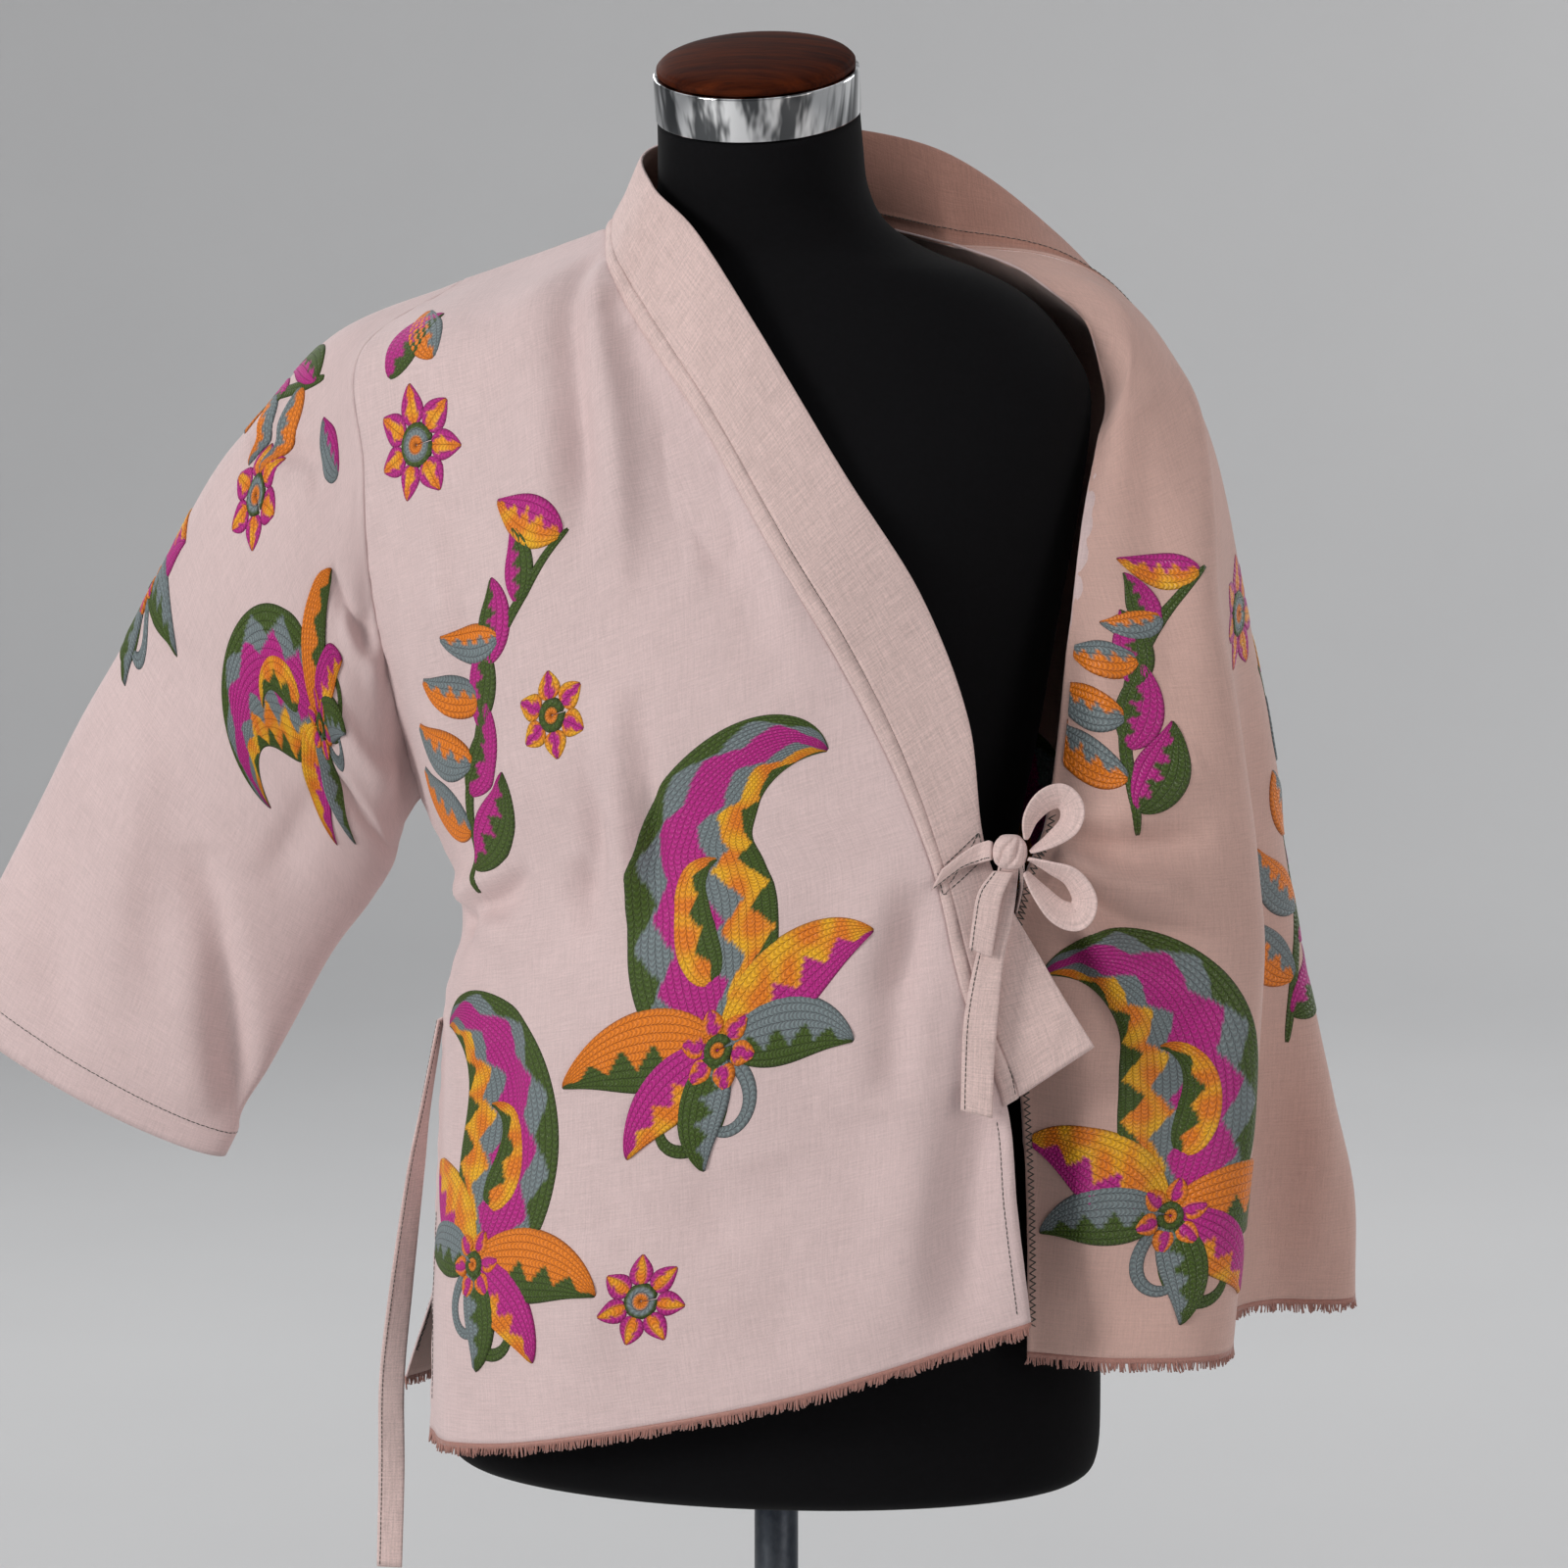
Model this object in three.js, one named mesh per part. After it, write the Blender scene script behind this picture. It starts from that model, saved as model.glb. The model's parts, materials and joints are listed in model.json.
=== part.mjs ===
// Kimono jacket on a limbless dress form.
//
// Frame: millimetres, +Z up, origin at the middle of the base plate's underside on the pole's axis.
// The wearer faces -Y, so the wearer's left is +X.
// The jacket is a set of cut panels. Each panel is a cloth wall about its middle surface, which runs
// smoothly through a table of rows (shoulder to hem) with named columns (seam to seam).
// Panels share the points of a seam and stand SEAM_GAP apart there.

import * as THREE from 'three';

// ---------------------------------------------------------------- driving sizes
const BODY_CLOTH = 1.8; // wall of the panels and sleeves
const BAND_CLOTH = 3; // collar band, folded double
const FOLDED_DRAW = 0.6; // the opened front draws back further, where its seams fold sharply
const TIE_CLOTH = 2.2; // ties, folded double
const SEAM_GAP = 0.3; // between pieces at a seam
const ROW_STEPS = 2; // grid rows for each table row
const FRONT_STEPS = 3; // grid columns for each table column
const UNDERARM_ROW = 5; // table row where the armhole ends
const SLIT_ROW = 9; // table row where the side slit starts
const BAND_END_ROW = 9; // table row where the collar band ends
const LEAST_MITRE = 0.95; // limits how thick a wall grows at a sharp seam

const FRINGE_PITCH = 12;
const FRINGE_LOCK = 6; // width of a lock at its root
const FRINGE_ROOT = 1.2; // height of the root strip
const FRINGE_LENGTH = 7;
const FRINGE_WALL = 1.4;

const FORM_SIDES = 32;
const NECK_TILT = THREE.MathUtils.degToRad(17);
const NECK_BAND_RADIUS = 56;
const NECK_BAND_HEIGHT = 25;
const NECK_CAP_RADIUS = 54;
const NECK_CAP_EDGE = 4;
const NECK_CAP_DOME = 8;
const NECK_TOP = [0, -54.2, 1453];
const POLE_RADIUS = 12.5;
const FLANGE_RADIUS = 42;
const FLANGE_HEIGHT = 8;
const FLANGE_BASE = 681.6;
const BASE_RADIUS = 180;
const BASE_HEIGHT = 14;
const HUB_RADIUS = 24;
const HUB_HEIGHT = 40;

// ---------------------------------------------------------------- materials
function material(color, roughness, metalness = 0) {
  return new THREE.MeshStandardMaterial({ color, roughness, metalness, side: THREE.DoubleSide });
}
const bodyCloth = material(0xcdb8b2, 0.92);
const bandCloth = material(0xc3aaa6, 0.92);
const fringeThread = material(0x9a6a5e, 0.95);
const jersey = material(0x141416, 0.85);
const wood = material(0x3a2016, 0.4);
const chrome = material(0xc9ccd0, 0.15, 1);
const steel = material(0x4a4f58, 0.3, 1);

// ---------------------------------------------------------------- tables
// Right front: rows from the shoulder to the hem.
const FRONT_RIGHT = [
  {
    side: [-175, 0, 1361], outer: [-153, -2, 1369], middle: [-132, -4, 1376], inner: [-112, -10, 1383],
    seam: [-91, -18, 1389],
  },
  {
    side: [-227, -40, 1322], outer: [-186, -66, 1334], middle: [-148, -84, 1342],
    inner: [-112, -92, 1356], seam: [-75, -86, 1371],
  },
  {
    side: [-221, -60, 1262], outer: [-183, -88, 1278], middle: [-140, -106, 1292],
    inner: [-97, -114, 1314], seam: [-55, -107, 1341],
  },
  {
    side: [-219, -57, 1200], outer: [-180, -98, 1216], middle: [-128, -127, 1234],
    inner: [-74, -138, 1262], seam: [-17, -128, 1291],
  },
  {
    side: [-212, -42, 1140], outer: [-176, -98, 1152], middle: [-120, -138, 1170],
    inner: [-52, -156, 1198], seam: [25, -155, 1227],
  },
  {
    side: [-205, 0, 1070], outer: [-172, -84, 1086], middle: [-112, -136, 1106],
    inner: [-32, -165, 1134], seam: [63, -168, 1169],
  },
  {
    side: [-172, -30, 1013], outer: [-150, -86, 1026], middle: [-98, -132, 1044],
    inner: [-14, -166, 1074], seam: [94, -168, 1110],
  },
  {
    side: [-183, -30, 960], outer: [-157, -92, 970], middle: [-98, -140, 986], inner: [0, -170, 1014],
    seam: [116, -165, 1053],
  },
  {
    side: [-187, -29, 905], outer: [-161, -95, 912], middle: [-99, -146, 926], inner: [12, -171, 954],
    seam: [130, -162, 993],
  },
  {
    side: [-190, -26, 850], outer: [-164, -98, 856], middle: [-100, -150, 868], inner: [22, -171, 894],
    seam: [152, -156, 930],
  },
  {
    side: [-191, -33, 790], outer: [-166, -106, 796], middle: [-100, -153, 806],
    inner: [30, -171, 834], seam: [158, -154, 872],
  },
  {
    side: [-187, -60, 717], outer: [-160, -120, 724], middle: [-92, -157, 738], inner: [40, -171, 770],
    seam: [165, -150, 811],
  },
];

// Left front, opened outward: rows from the shoulder to the hem, columns from the folded-back side
// seam round two soft folds to the seam with the band.
const FRONT_LEFT = [
  {
    side: [176, -12, 1338], panel: [165, -10, 1349], fold: [153, -9, 1358], inside: [140, -8, 1367],
    back: [127, -8, 1373], turn: [113, -8, 1378], seam: [98, -8, 1383],
  },
  {
    side: [187, -25, 1297], panel: [197, -24, 1323], fold: [195, -10, 1343], inside: [187, 0, 1354],
    back: [177, 5, 1361], turn: [168, 7, 1368], seam: [159, 8, 1374],
  },
  {
    side: [184, -42, 1275], panel: [198, -42, 1290], fold: [210, -30, 1303], inside: [217, -12, 1315],
    back: [216, 4, 1326], turn: [208, 14, 1336], seam: [198, 20, 1345],
  },
  {
    side: [179, -62, 1235], panel: [205, -60, 1240], fold: [228, -44, 1246], inside: [242, -16, 1254],
    back: [244, 10, 1262], turn: [238, 36, 1272], seam: [224, 56, 1284],
  },
  {
    side: [174, -84, 1165], panel: [214, -92, 1163], fold: [256, -72, 1164], inside: [254, -28, 1168],
    back: [254, 12, 1172], turn: [259, 46, 1178], seam: [246, 82, 1190],
  },
  {
    side: [166, -100, 1080], panel: [215, -108, 1078], fold: [271, -78, 1080],
    inside: [256, -22, 1083], back: [259, 20, 1086], turn: [275, 55, 1090], seam: [262, 104, 1098],
  },
  {
    side: [156, -112, 1048], panel: [208, -114, 1042], fold: [276, -80, 1042],
    inside: [257, -20, 1044], back: [261, 22, 1046], turn: [279, 57, 1050], seam: [266, 109, 1056],
  },
  {
    side: [149, -118, 1010], panel: [205, -116, 1004], fold: [279, -80, 1004],
    inside: [258, -18, 1005], back: [263, 24, 1006], turn: [286, 59, 1010], seam: [270, 113, 1016],
  },
  {
    side: [152, -113, 958], panel: [209, -115, 954], fold: [277, -82, 954], inside: [258, -15, 954],
    back: [264, 27, 955], turn: [295, 60, 958], seam: [276, 117, 964],
  },
  {
    side: [155, -108, 905], panel: [212, -115, 902], fold: [275, -83, 902], inside: [257, -10, 902],
    back: [266, 32, 902], turn: [307, 60, 904], seam: [284, 119, 908],
  },
  {
    side: [157, -106, 850], panel: [213, -115, 848], fold: [269, -84, 847], inside: [257, -2, 846],
    back: [269, 40, 846], turn: [320, 60, 849], seam: [293, 120, 853],
  },
  {
    side: [157, -105, 784], panel: [213, -115, 785], fold: [263, -85, 784], inside: [257, 12, 784],
    back: [276, 49, 784], turn: [322, 60, 785], seam: [300, 120, 789],
  },
];

// Back: rows from the shoulder to the hem, columns from the right side to the left side.
const BACK = [
  {
    right: [-175, 0, 1361], right_mid: [-132, -4, 1376], right_neck: [-91, -18, 1389],
    centre: [0, 45, 1398], left_neck: [98, -8, 1383], left_mid: [140, -8, 1367],
    left: [176, -12, 1338],
  },
  {
    right: [-222, 25, 1322], right_mid: [-165, 60, 1330], right_neck: [-92, 80, 1345],
    centre: [0, 88, 1352], left_neck: [92, 80, 1342], left_mid: [162, 62, 1322], left: [206, 30, 1300],
  },
  {
    right: [-222, 40, 1262], right_mid: [-165, 75, 1265], right_neck: [-92, 94, 1272],
    centre: [0, 102, 1278], left_neck: [92, 96, 1268], left_mid: [163, 76, 1258],
    left: [216, 42, 1248],
  },
  {
    right: [-220, 40, 1200], right_mid: [-165, 79, 1205], right_neck: [-91, 99, 1210],
    centre: [0, 105, 1216], left_neck: [91, 99, 1208], left_mid: [165, 78, 1198],
    left: [217, 40, 1195],
  },
  {
    right: [-213, 26, 1135], right_mid: [-165, 72, 1140], right_neck: [-90, 96, 1148],
    centre: [0, 102, 1156], left_neck: [90, 97, 1150], left_mid: [163, 70, 1145], left: [210, 8, 1140],
  },
  {
    right: [-205, 0, 1070], right_mid: [-164, 58, 1076], right_neck: [-89, 88, 1088],
    centre: [0, 96, 1100], left_neck: [92, 88, 1100], left_mid: [172, 30, 1095],
    left: [166, -100, 1080],
  },
  {
    right: [-172, -30, 1013], right_mid: [-158, 38, 1018], right_neck: [-88, 78, 1030],
    centre: [0, 86, 1042], left_neck: [98, 72, 1048], left_mid: [172, 4, 1052],
    left: [156, -112, 1048],
  },
  {
    right: [-183, -30, 960], right_mid: [-164, 40, 965], right_neck: [-90, 80, 976],
    centre: [0, 88, 990], left_neck: [100, 70, 1000], left_mid: [168, 0, 1008],
    left: [149, -118, 1010],
  },
  {
    right: [-187, -29, 905], right_mid: [-170, 46, 910], right_neck: [-94, 88, 920],
    centre: [0, 98, 934], left_neck: [103, 78, 946], left_mid: [174, 6, 955], left: [152, -113, 958],
  },
  {
    right: [-190, -26, 850], right_mid: [-178, 58, 855], right_neck: [-98, 100, 866],
    centre: [0, 110, 880], left_neck: [106, 90, 892], left_mid: [182, 14, 900], left: [155, -108, 905],
  },
  {
    right: [-197, 0, 795], right_mid: [-186, 72, 800], right_neck: [-102, 110, 810],
    centre: [0, 118, 824], left_neck: [109, 99, 838], left_mid: [194, 10, 848], left: [164, -93, 850],
  },
  {
    right: [-222, 20, 726], right_mid: [-190, 85, 728], right_neck: [-105, 117, 738],
    centre: [0, 124, 752], left_neck: [112, 106, 768], left_mid: [200, 16, 780], left: [167, -89, 783],
  },
];

// Free edge of the collar band at the table rows of the right front, behind the neck, and at the
// table rows of the left front.
const BAND_FREE_RIGHT = [
  [-63, -24, 1435], [-53, -82, 1415], [-25, -102, 1390], [13, -117, 1336], [61, -135, 1263],
  [103, -143, 1200], [130, -152, 1135], [141, -156, 1064], [172, -153, 1005], [198, -150, 962],
];
const BAND_FREE_NECK = [0, 33, 1447];
const BAND_FREE_LEFT = [
  [84, 38, 1434], [149, 52, 1388], [189, 66, 1340], [212, 104, 1292], [232, 132, 1196],
  [238, 150, 1104], [240, 154, 1061], [243, 157, 1021], [248, 161, 969], [254, 162, 913],
];

// Sleeves: a row for each section below the armhole, by its top, front, underside and back.
const SLEEVE_RIGHT = [
  { top: [-250, 0, 1331], front: [-237, -60, 1190], under: [-217, 0, 1050], back: [-237, 48, 1190] },
  { top: [-296, 0, 1284], front: [-262, -57, 1160], under: [-221, 0, 1036], back: [-262, 50, 1160] },
  { top: [-328, 0, 1244], front: [-280, -52, 1130], under: [-226, 0, 1023], back: [-280, 48, 1130] },
  { top: [-375, 0, 1158], front: [-308, -44, 1078], under: [-237, 0, 1006], back: [-308, 42, 1078] },
  { top: [-411, 0, 1096], front: [-338, -36, 1030], under: [-262, 0, 972], back: [-338, 34, 1030] },
  { top: [-455, 0, 1012], front: [-377, -28, 958], under: [-297, 0, 909], back: [-377, 26, 962] },
  { top: [-491, 0, 945], front: [-408, -22, 894], under: [-323, 0, 858], back: [-410, 22, 902] },
];
const LEFT_SLEEVE_LEAD = [16, 6, -12]; // from the armhole to the first section
const SLEEVE_LEFT = [
  { top: [212, 22, 1268], front: [207, -50, 1150], under: [200, -44, 1056], back: [240, 66, 1146] },
  { top: [230, 26, 1190], front: [214, -60, 1085], under: [206, -8, 1048], back: [235, 84, 1098] },
  { top: [236, 22, 1100], front: [216, -62, 1040], under: [204, 10, 1030], back: [226, 96, 1050] },
  { top: [236, 20, 1020], front: [216, -60, 990], under: [203, 14, 986], back: [221, 100, 1000] },
  { top: [236, 20, 936], front: [216, -56, 932], under: [204, 16, 930], back: [222, 96, 938] },
];

// Dress form: level sections from the underside up, by half width, front, back, centre and lean.
const FORM = [
  { z: 690, half_width: 160, front: -104, back: 70, centre: -18, lean: 0 },
  { z: 695, half_width: 177, front: -119, back: 86, centre: -18, lean: 0 },
  { z: 706, half_width: 185, front: -127, back: 94, centre: -18, lean: 0 },
  { z: 735, half_width: 187, front: -130, back: 97, centre: -18, lean: 0 },
  { z: 790, half_width: 185, front: -129, back: 101, centre: -18, lean: 0 },
  { z: 850, half_width: 174, front: -121, back: 98, centre: -18, lean: 0 },
  { z: 920, half_width: 150, front: -110, back: 80, centre: -18, lean: 0 },
  { z: 985, half_width: 131, front: -105, back: 62, centre: -18, lean: 0 },
  { z: 1050, half_width: 138, front: -115, back: 64, centre: -18, lean: 0 },
  { z: 1120, half_width: 151, front: -138, back: 74, centre: -18, lean: 0 },
  { z: 1180, half_width: 161, front: -151, back: 82, centre: -18, lean: 0 },
  { z: 1240, half_width: 172, front: -143, back: 84, centre: -18, lean: 0 },
  { z: 1297, half_width: 178, front: -119, back: 78, centre: -18, lean: 0 },
  { z: 1325, half_width: 168, front: -109, back: 68, centre: -20, lean: 0 },
  { z: 1350, half_width: 148, front: -99, back: 54, centre: -22, lean: 0 },
  { z: 1366, half_width: 123, front: -93, back: 42, centre: -26, lean: 0 },
  { z: 1380, half_width: 88, front: -88, back: 30, centre: -32, lean: 2 },
  { z: 1394, half_width: 67, front: -90, back: 18, centre: -38, lean: 5 },
  { z: 1412, half_width: 58, front: -95, back: 12, centre: -43, lean: 9 },
  { z: 1432, half_width: 56, front: -103, back: 7, centre: -48, lean: 14 },
  { z: 1452.7, half_width: 55, front: -109, back: 1, centre: -54, lean: 17 },
];

// Ties: rows along the strip by its two edges.
const TIE_BAND = [
  { near: [113, -169.3, 1046], far: [119, -169.3, 1058] },
  { near: [128, -165.6, 1057], far: [133, -165.6, 1069] },
  { near: [139, -166, 1061], far: [142, -166, 1073] },
  { near: [145.8, -175, 1064], far: [145.8, -175, 1074] },
];
const TIE_SIDE = [
  { near: [152, -122, 1028], far: [155, -122, 1046] },
  { near: [157, -140, 1043], far: [158, -140, 1058] },
  { near: [159, -155, 1055], far: [159, -155, 1069] },
  { near: [158, -168.6, 1063], far: [158, -168.6, 1074] },
];
const TAIL_SHORT = [
  { near: [147, -178, 1058.6], far: [158, -178, 1058.4] },
  { near: [139, -176.5, 1047], far: [152, -176.5, 1045] },
  { near: [136, -175.5, 1032], far: [149, -175, 1029] },
  { near: [134, -174, 1017], far: [146, -173.5, 1012] },
];
const TAIL_LONG = [
  { near: [149, -171, 1060.7], far: [160, -171, 1060.7] },
  { near: [144, -169.5, 1037], far: [157, -169.5, 1035] },
  { near: [137, -169, 1012], far: [152, -169, 1011] },
  { near: [131, -168.5, 981], far: [149, -168.5, 981] },
  { near: [129.5, -168, 955], far: [147, -168, 954] },
  { near: [129, -167.5, 929], far: [146, -167.5, 925] },
];
const TIE_INNER = [
  { near: [-187.2, -36, 946], far: [-187, -24, 946] },
  { near: [-198, -37, 894], far: [-195, -25, 894] },
  { near: [-207, -34, 856], far: [-199, -24, 856] },
  { near: [-219, -29, 788], far: [-207, -21, 788] },
  { near: [-227, -22, 734], far: [-213, -18, 734] },
  { near: [-230, -14, 679], far: [-215, -12, 679] },
  { near: [-232, -12, 622], far: [-217, -12, 622] },
];
// Bow loops: rows along the ribbon by place and half breadth; the breadth lies front to back.
const BOW_FRONT = -178;
const LOOP_UPPER = [
  { x: 164.5, z: 1076, half: 4 },
  { x: 167, z: 1087, half: 5.5 },
  { x: 174, z: 1096, half: 6.5 },
  { x: 183, z: 1099, half: 7 },
  { x: 188.5, z: 1093, half: 7 },
  { x: 187, z: 1084, half: 6.5 },
  { x: 178, z: 1076, half: 5.5 },
  { x: 167, z: 1069.5, half: 4 },
];
const LOOP_LOWER = [
  { x: 165.7, z: 1065.6, half: 4 },
  { x: 178, z: 1061, half: 5.5 },
  { x: 189, z: 1056, half: 6.5 },
  { x: 195.5, z: 1045, half: 7 },
  { x: 192, z: 1036, half: 7 },
  { x: 182, z: 1038, half: 6.5 },
  { x: 172, z: 1048, half: 5.5 },
  { x: 164, z: 1058.5, half: 4 },
];
const KNOT = { centre: [156, -177.5, 1069], radii: [9.5, 8.2, 9.9] };

// ---------------------------------------------------------------- smooth tables
function splineAt(points, t) {
  const last = points.length - 1;
  const i = Math.min(Math.floor(t), last - 1);
  const f = t - i;
  const b = points[i];
  const c = points[i + 1];
  const a = i > 0 ? points[i - 1] : b.clone().multiplyScalar(2).sub(c);
  const d = i < last - 1 ? points[i + 2] : c.clone().multiplyScalar(2).sub(b);
  const f2 = f * f;
  const f3 = f2 * f;
  return new THREE.Vector3()
    .addScaledVector(a, 0.5 * (-f3 + 2 * f2 - f))
    .addScaledVector(b, 0.5 * (3 * f3 - 5 * f2 + 2))
    .addScaledVector(c, 0.5 * (-3 * f3 + 4 * f2 + f))
    .addScaledVector(d, 0.5 * (f3 - f2));
}

function smooth(points, steps) {
  const count = (points.length - 1) * steps;
  return Array.from({ length: count + 1 }, (_, k) => splineAt(points, k / steps));
}

const vec = (p) => new THREE.Vector3(...p);

function gridFrom(table, rowSteps, columnSteps) {
  const names = Object.keys(table[0]);
  const columns = names.map((name) => smooth(table.map((row) => vec(row[name])), rowSteps));
  return columns[0].map((_, r) => smooth(columns.map((column) => column[r]), columnSteps));
}

const columnOf = (grid, c) => grid.map((row) => row[c]);

// ---------------------------------------------------------------- panels and their shared seams
const frontRight = gridFrom(FRONT_RIGHT, ROW_STEPS, FRONT_STEPS);
const frontLeft = gridFrom(FRONT_LEFT, ROW_STEPS, FRONT_STEPS);
const back = gridFrom(BACK, ROW_STEPS, FRONT_STEPS);
const lastFront = frontRight[0].length - 1;
const lastFrontLeft = frontLeft[0].length - 1;
const lastBack = back[0].length - 1;
const underarm = UNDERARM_ROW * ROW_STEPS;
const slit = SLIT_ROW * ROW_STEPS;

// A side seam is one line for both panels from the underarm to the slit.
for (let r = underarm; r <= slit; r += 1) {
  back[r][0] = frontRight[r][0].clone();
  back[r][lastBack] = frontLeft[r][0].clone();
}
back[0][0] = frontRight[0][0].clone();

// A shoulder seam has fewer points on the back, so the front's extra points lie on its straights.
const betweens = [];
function matchShoulder(front, frontAt, backAt, spans, ratio) {
  for (let k = 0; k <= spans; k += 1) {
    front[0][frontAt(k * ratio)] = back[0][backAt(k)].clone();
  }
  for (let k = 0; k < spans; k += 1) {
    const from = back[0][backAt(k)];
    const to = back[0][backAt(k + 1)];
    for (let j = 1; j < ratio; j += 1) {
      const between = from.clone().lerp(to, j / ratio);
      front[0][frontAt(k * ratio + j)] = between;
      betweens.push({ between, from, to });
    }
  }
}
const shoulderSpans = 2 * FRONT_STEPS;
matchShoulder(frontRight, (k) => k, (k) => k, shoulderSpans, lastFront / shoulderSpans);
matchShoulder(frontLeft, (k) => k, (k) => lastBack - k, shoulderSpans, lastFrontLeft / shoulderSpans);

// Collar band: its seam edge is the panels' edges, in order from the right end to the left end.
const bandEnd = BAND_END_ROW * ROW_STEPS;
const neckFrom = 2 * FRONT_STEPS;
const neckTo = 4 * FRONT_STEPS;
const bandSeam = [
  ...columnOf(frontRight, lastFront).slice(0, bandEnd + 1).reverse(),
  ...back[0].slice(neckFrom + 1, neckTo),
  ...columnOf(frontLeft, lastFrontLeft).slice(0, bandEnd + 1),
];
const freeRight = BAND_FREE_RIGHT.map(vec);
const freeLeft = BAND_FREE_LEFT.map(vec);
const freeControl = [...freeRight.slice().reverse(), vec(BAND_FREE_NECK), ...freeLeft];
const bandFree = [];
for (let k = 0; k < freeControl.length - 1; k += 1) {
  const overNeck = k >= freeRight.length - 1 && k <= freeRight.length;
  const steps = overNeck ? FRONT_STEPS : ROW_STEPS;
  for (let j = 0; j < steps; j += 1) {
    bandFree.push(splineAt(freeControl, k + j / steps));
  }
}
bandFree.push(freeControl[freeControl.length - 1]);
const BAND_COLUMNS = [0, 0.33, 0.67, 1];
const band = bandSeam.map((seam, k) => BAND_COLUMNS.map((s) => seam.clone().lerp(bandFree[k], s)));

// Sleeves: the first ring is the armhole, front edge down and back edge up.
function sleeveGrid(front, backColumn, lead, table) {
  const down = columnOf(front, 0).slice(0, underarm + 1);
  const up = columnOf(back, backColumn).slice(1, underarm).reverse();
  const ring = [...down, ...up];
  const count = ring.length;
  const turn = ring.map((_, k) => (k <= underarm ? k / underarm : 1 + (k - underarm) / underarm) * Math.PI);
  const sections = table.map((row) => {
    const [top, fore, under, rear] = [row.top, row.front, row.under, row.back].map(vec);
    const centre = top.clone().add(under).add(fore).add(rear).multiplyScalar(0.25);
    const along = top.clone().sub(under).multiplyScalar(0.5);
    const across = fore.clone().sub(rear).multiplyScalar(0.5);
    const skew = top.clone().add(under).sub(fore).sub(rear).multiplyScalar(0.25);
    return turn.map((a) => centre.clone()
      .addScaledVector(along, Math.cos(a))
      .addScaledVector(across, Math.sin(a))
      .addScaledVector(skew, Math.cos(2 * a)));
  });
  const start = lead ? [ring.map((p) => p.clone().add(vec(lead)))] : [];
  const control = [ring, ...start, ...sections];
  const lines = Array.from({ length: count }, (_, k) => smooth(control.map((section) => section[k]), 1));
  return lines[0].map((_, r) => lines.map((line) => line[r]));
}
const sleeveRight = sleeveGrid(frontRight, 0, null, SLEEVE_RIGHT);
const sleeveLeft = sleeveGrid(frontLeft, lastBack, LEFT_SLEEVE_LEAD, SLEEVE_LEFT);

// ---------------------------------------------------------------- cloth walls
function gridNormals(grid, closed, side) {
  const rows = grid.length;
  const columns = grid[0].length;
  return grid.map((row, r) => row.map((_, c) => {
    const before = closed ? (c + columns - 1) % columns : Math.max(c - 1, 0);
    const after = closed ? (c + 1) % columns : Math.min(c + 1, columns - 1);
    const across = row[after].clone().sub(row[before]);
    const down = grid[Math.min(r + 1, rows - 1)][c].clone().sub(grid[Math.max(r - 1, 0)][c]);
    return across.cross(down).normalize().multiplyScalar(side);
  }));
}

const keyOf = (p) => `${p.x.toFixed(3)},${p.y.toFixed(3)},${p.z.toFixed(3)}`;

// The lines of a grid's edge, each with the step toward the inside.
function edgeLines(grid, closed) {
  const rows = grid.length;
  const columns = grid[0].length;
  const across = Array.from({ length: columns }, (_, c) => c);
  const down = Array.from({ length: rows }, (_, r) => r);
  const lines = [
    across.map((c) => ({ at: [0, c], inside: [1, c] })),
    across.map((c) => ({ at: [rows - 1, c], inside: [rows - 2, c] })),
  ];
  if (!closed) {
    lines.push(down.map((r) => ({ at: [r, 0], inside: [r, 1] })));
    lines.push(down.map((r) => ({ at: [r, columns - 1], inside: [r, columns - 2] })));
  }
  return lines;
}

const pieces = [
  { name: 'front_right', grid: frontRight, wall: BODY_CLOTH, side: -1, closed: false, cloth: bodyCloth },
  {
    name: 'front_left', grid: frontLeft, draw: FOLDED_DRAW, wall: BODY_CLOTH,
    side: 1, closed: false, cloth: bodyCloth,
  },
  { name: 'back', grid: back, wall: BODY_CLOTH, side: 1, closed: false, cloth: bodyCloth },
  { name: 'sleeve_right', grid: sleeveRight, wall: BODY_CLOTH, side: -1, closed: true, cloth: bodyCloth },
  { name: 'sleeve_left', grid: sleeveLeft, wall: BODY_CLOTH, side: 1, closed: true, cloth: bodyCloth },
  { name: 'collar_band', grid: band, wall: BAND_CLOTH, side: 1, closed: false, cloth: bandCloth },
];

// Points that several pieces share get one common normal, and each piece draws back from them.
const shared = new Map();
for (const piece of pieces) {
  piece.normals = gridNormals(piece.grid, piece.closed, piece.side);
  const seen = new Set();
  for (const line of edgeLines(piece.grid, piece.closed)) {
    for (const { at: [r, c] } of line) {
      const place = `${r},${c}`;
      if (seen.has(place)) continue;
      seen.add(place);
      const key = keyOf(piece.grid[r][c]);
      const entry = shared.get(key) ?? { sum: new THREE.Vector3(), count: 0 };
      entry.sum.add(piece.normals[r][c]);
      entry.count += 1;
      shared.set(key, entry);
    }
  }
}

for (const { between, from, to } of betweens) {
  const sum = shared.get(keyOf(from)).sum.clone().add(shared.get(keyOf(to)).sum);
  shared.set(keyOf(between), { sum, count: 2 });
}

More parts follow.
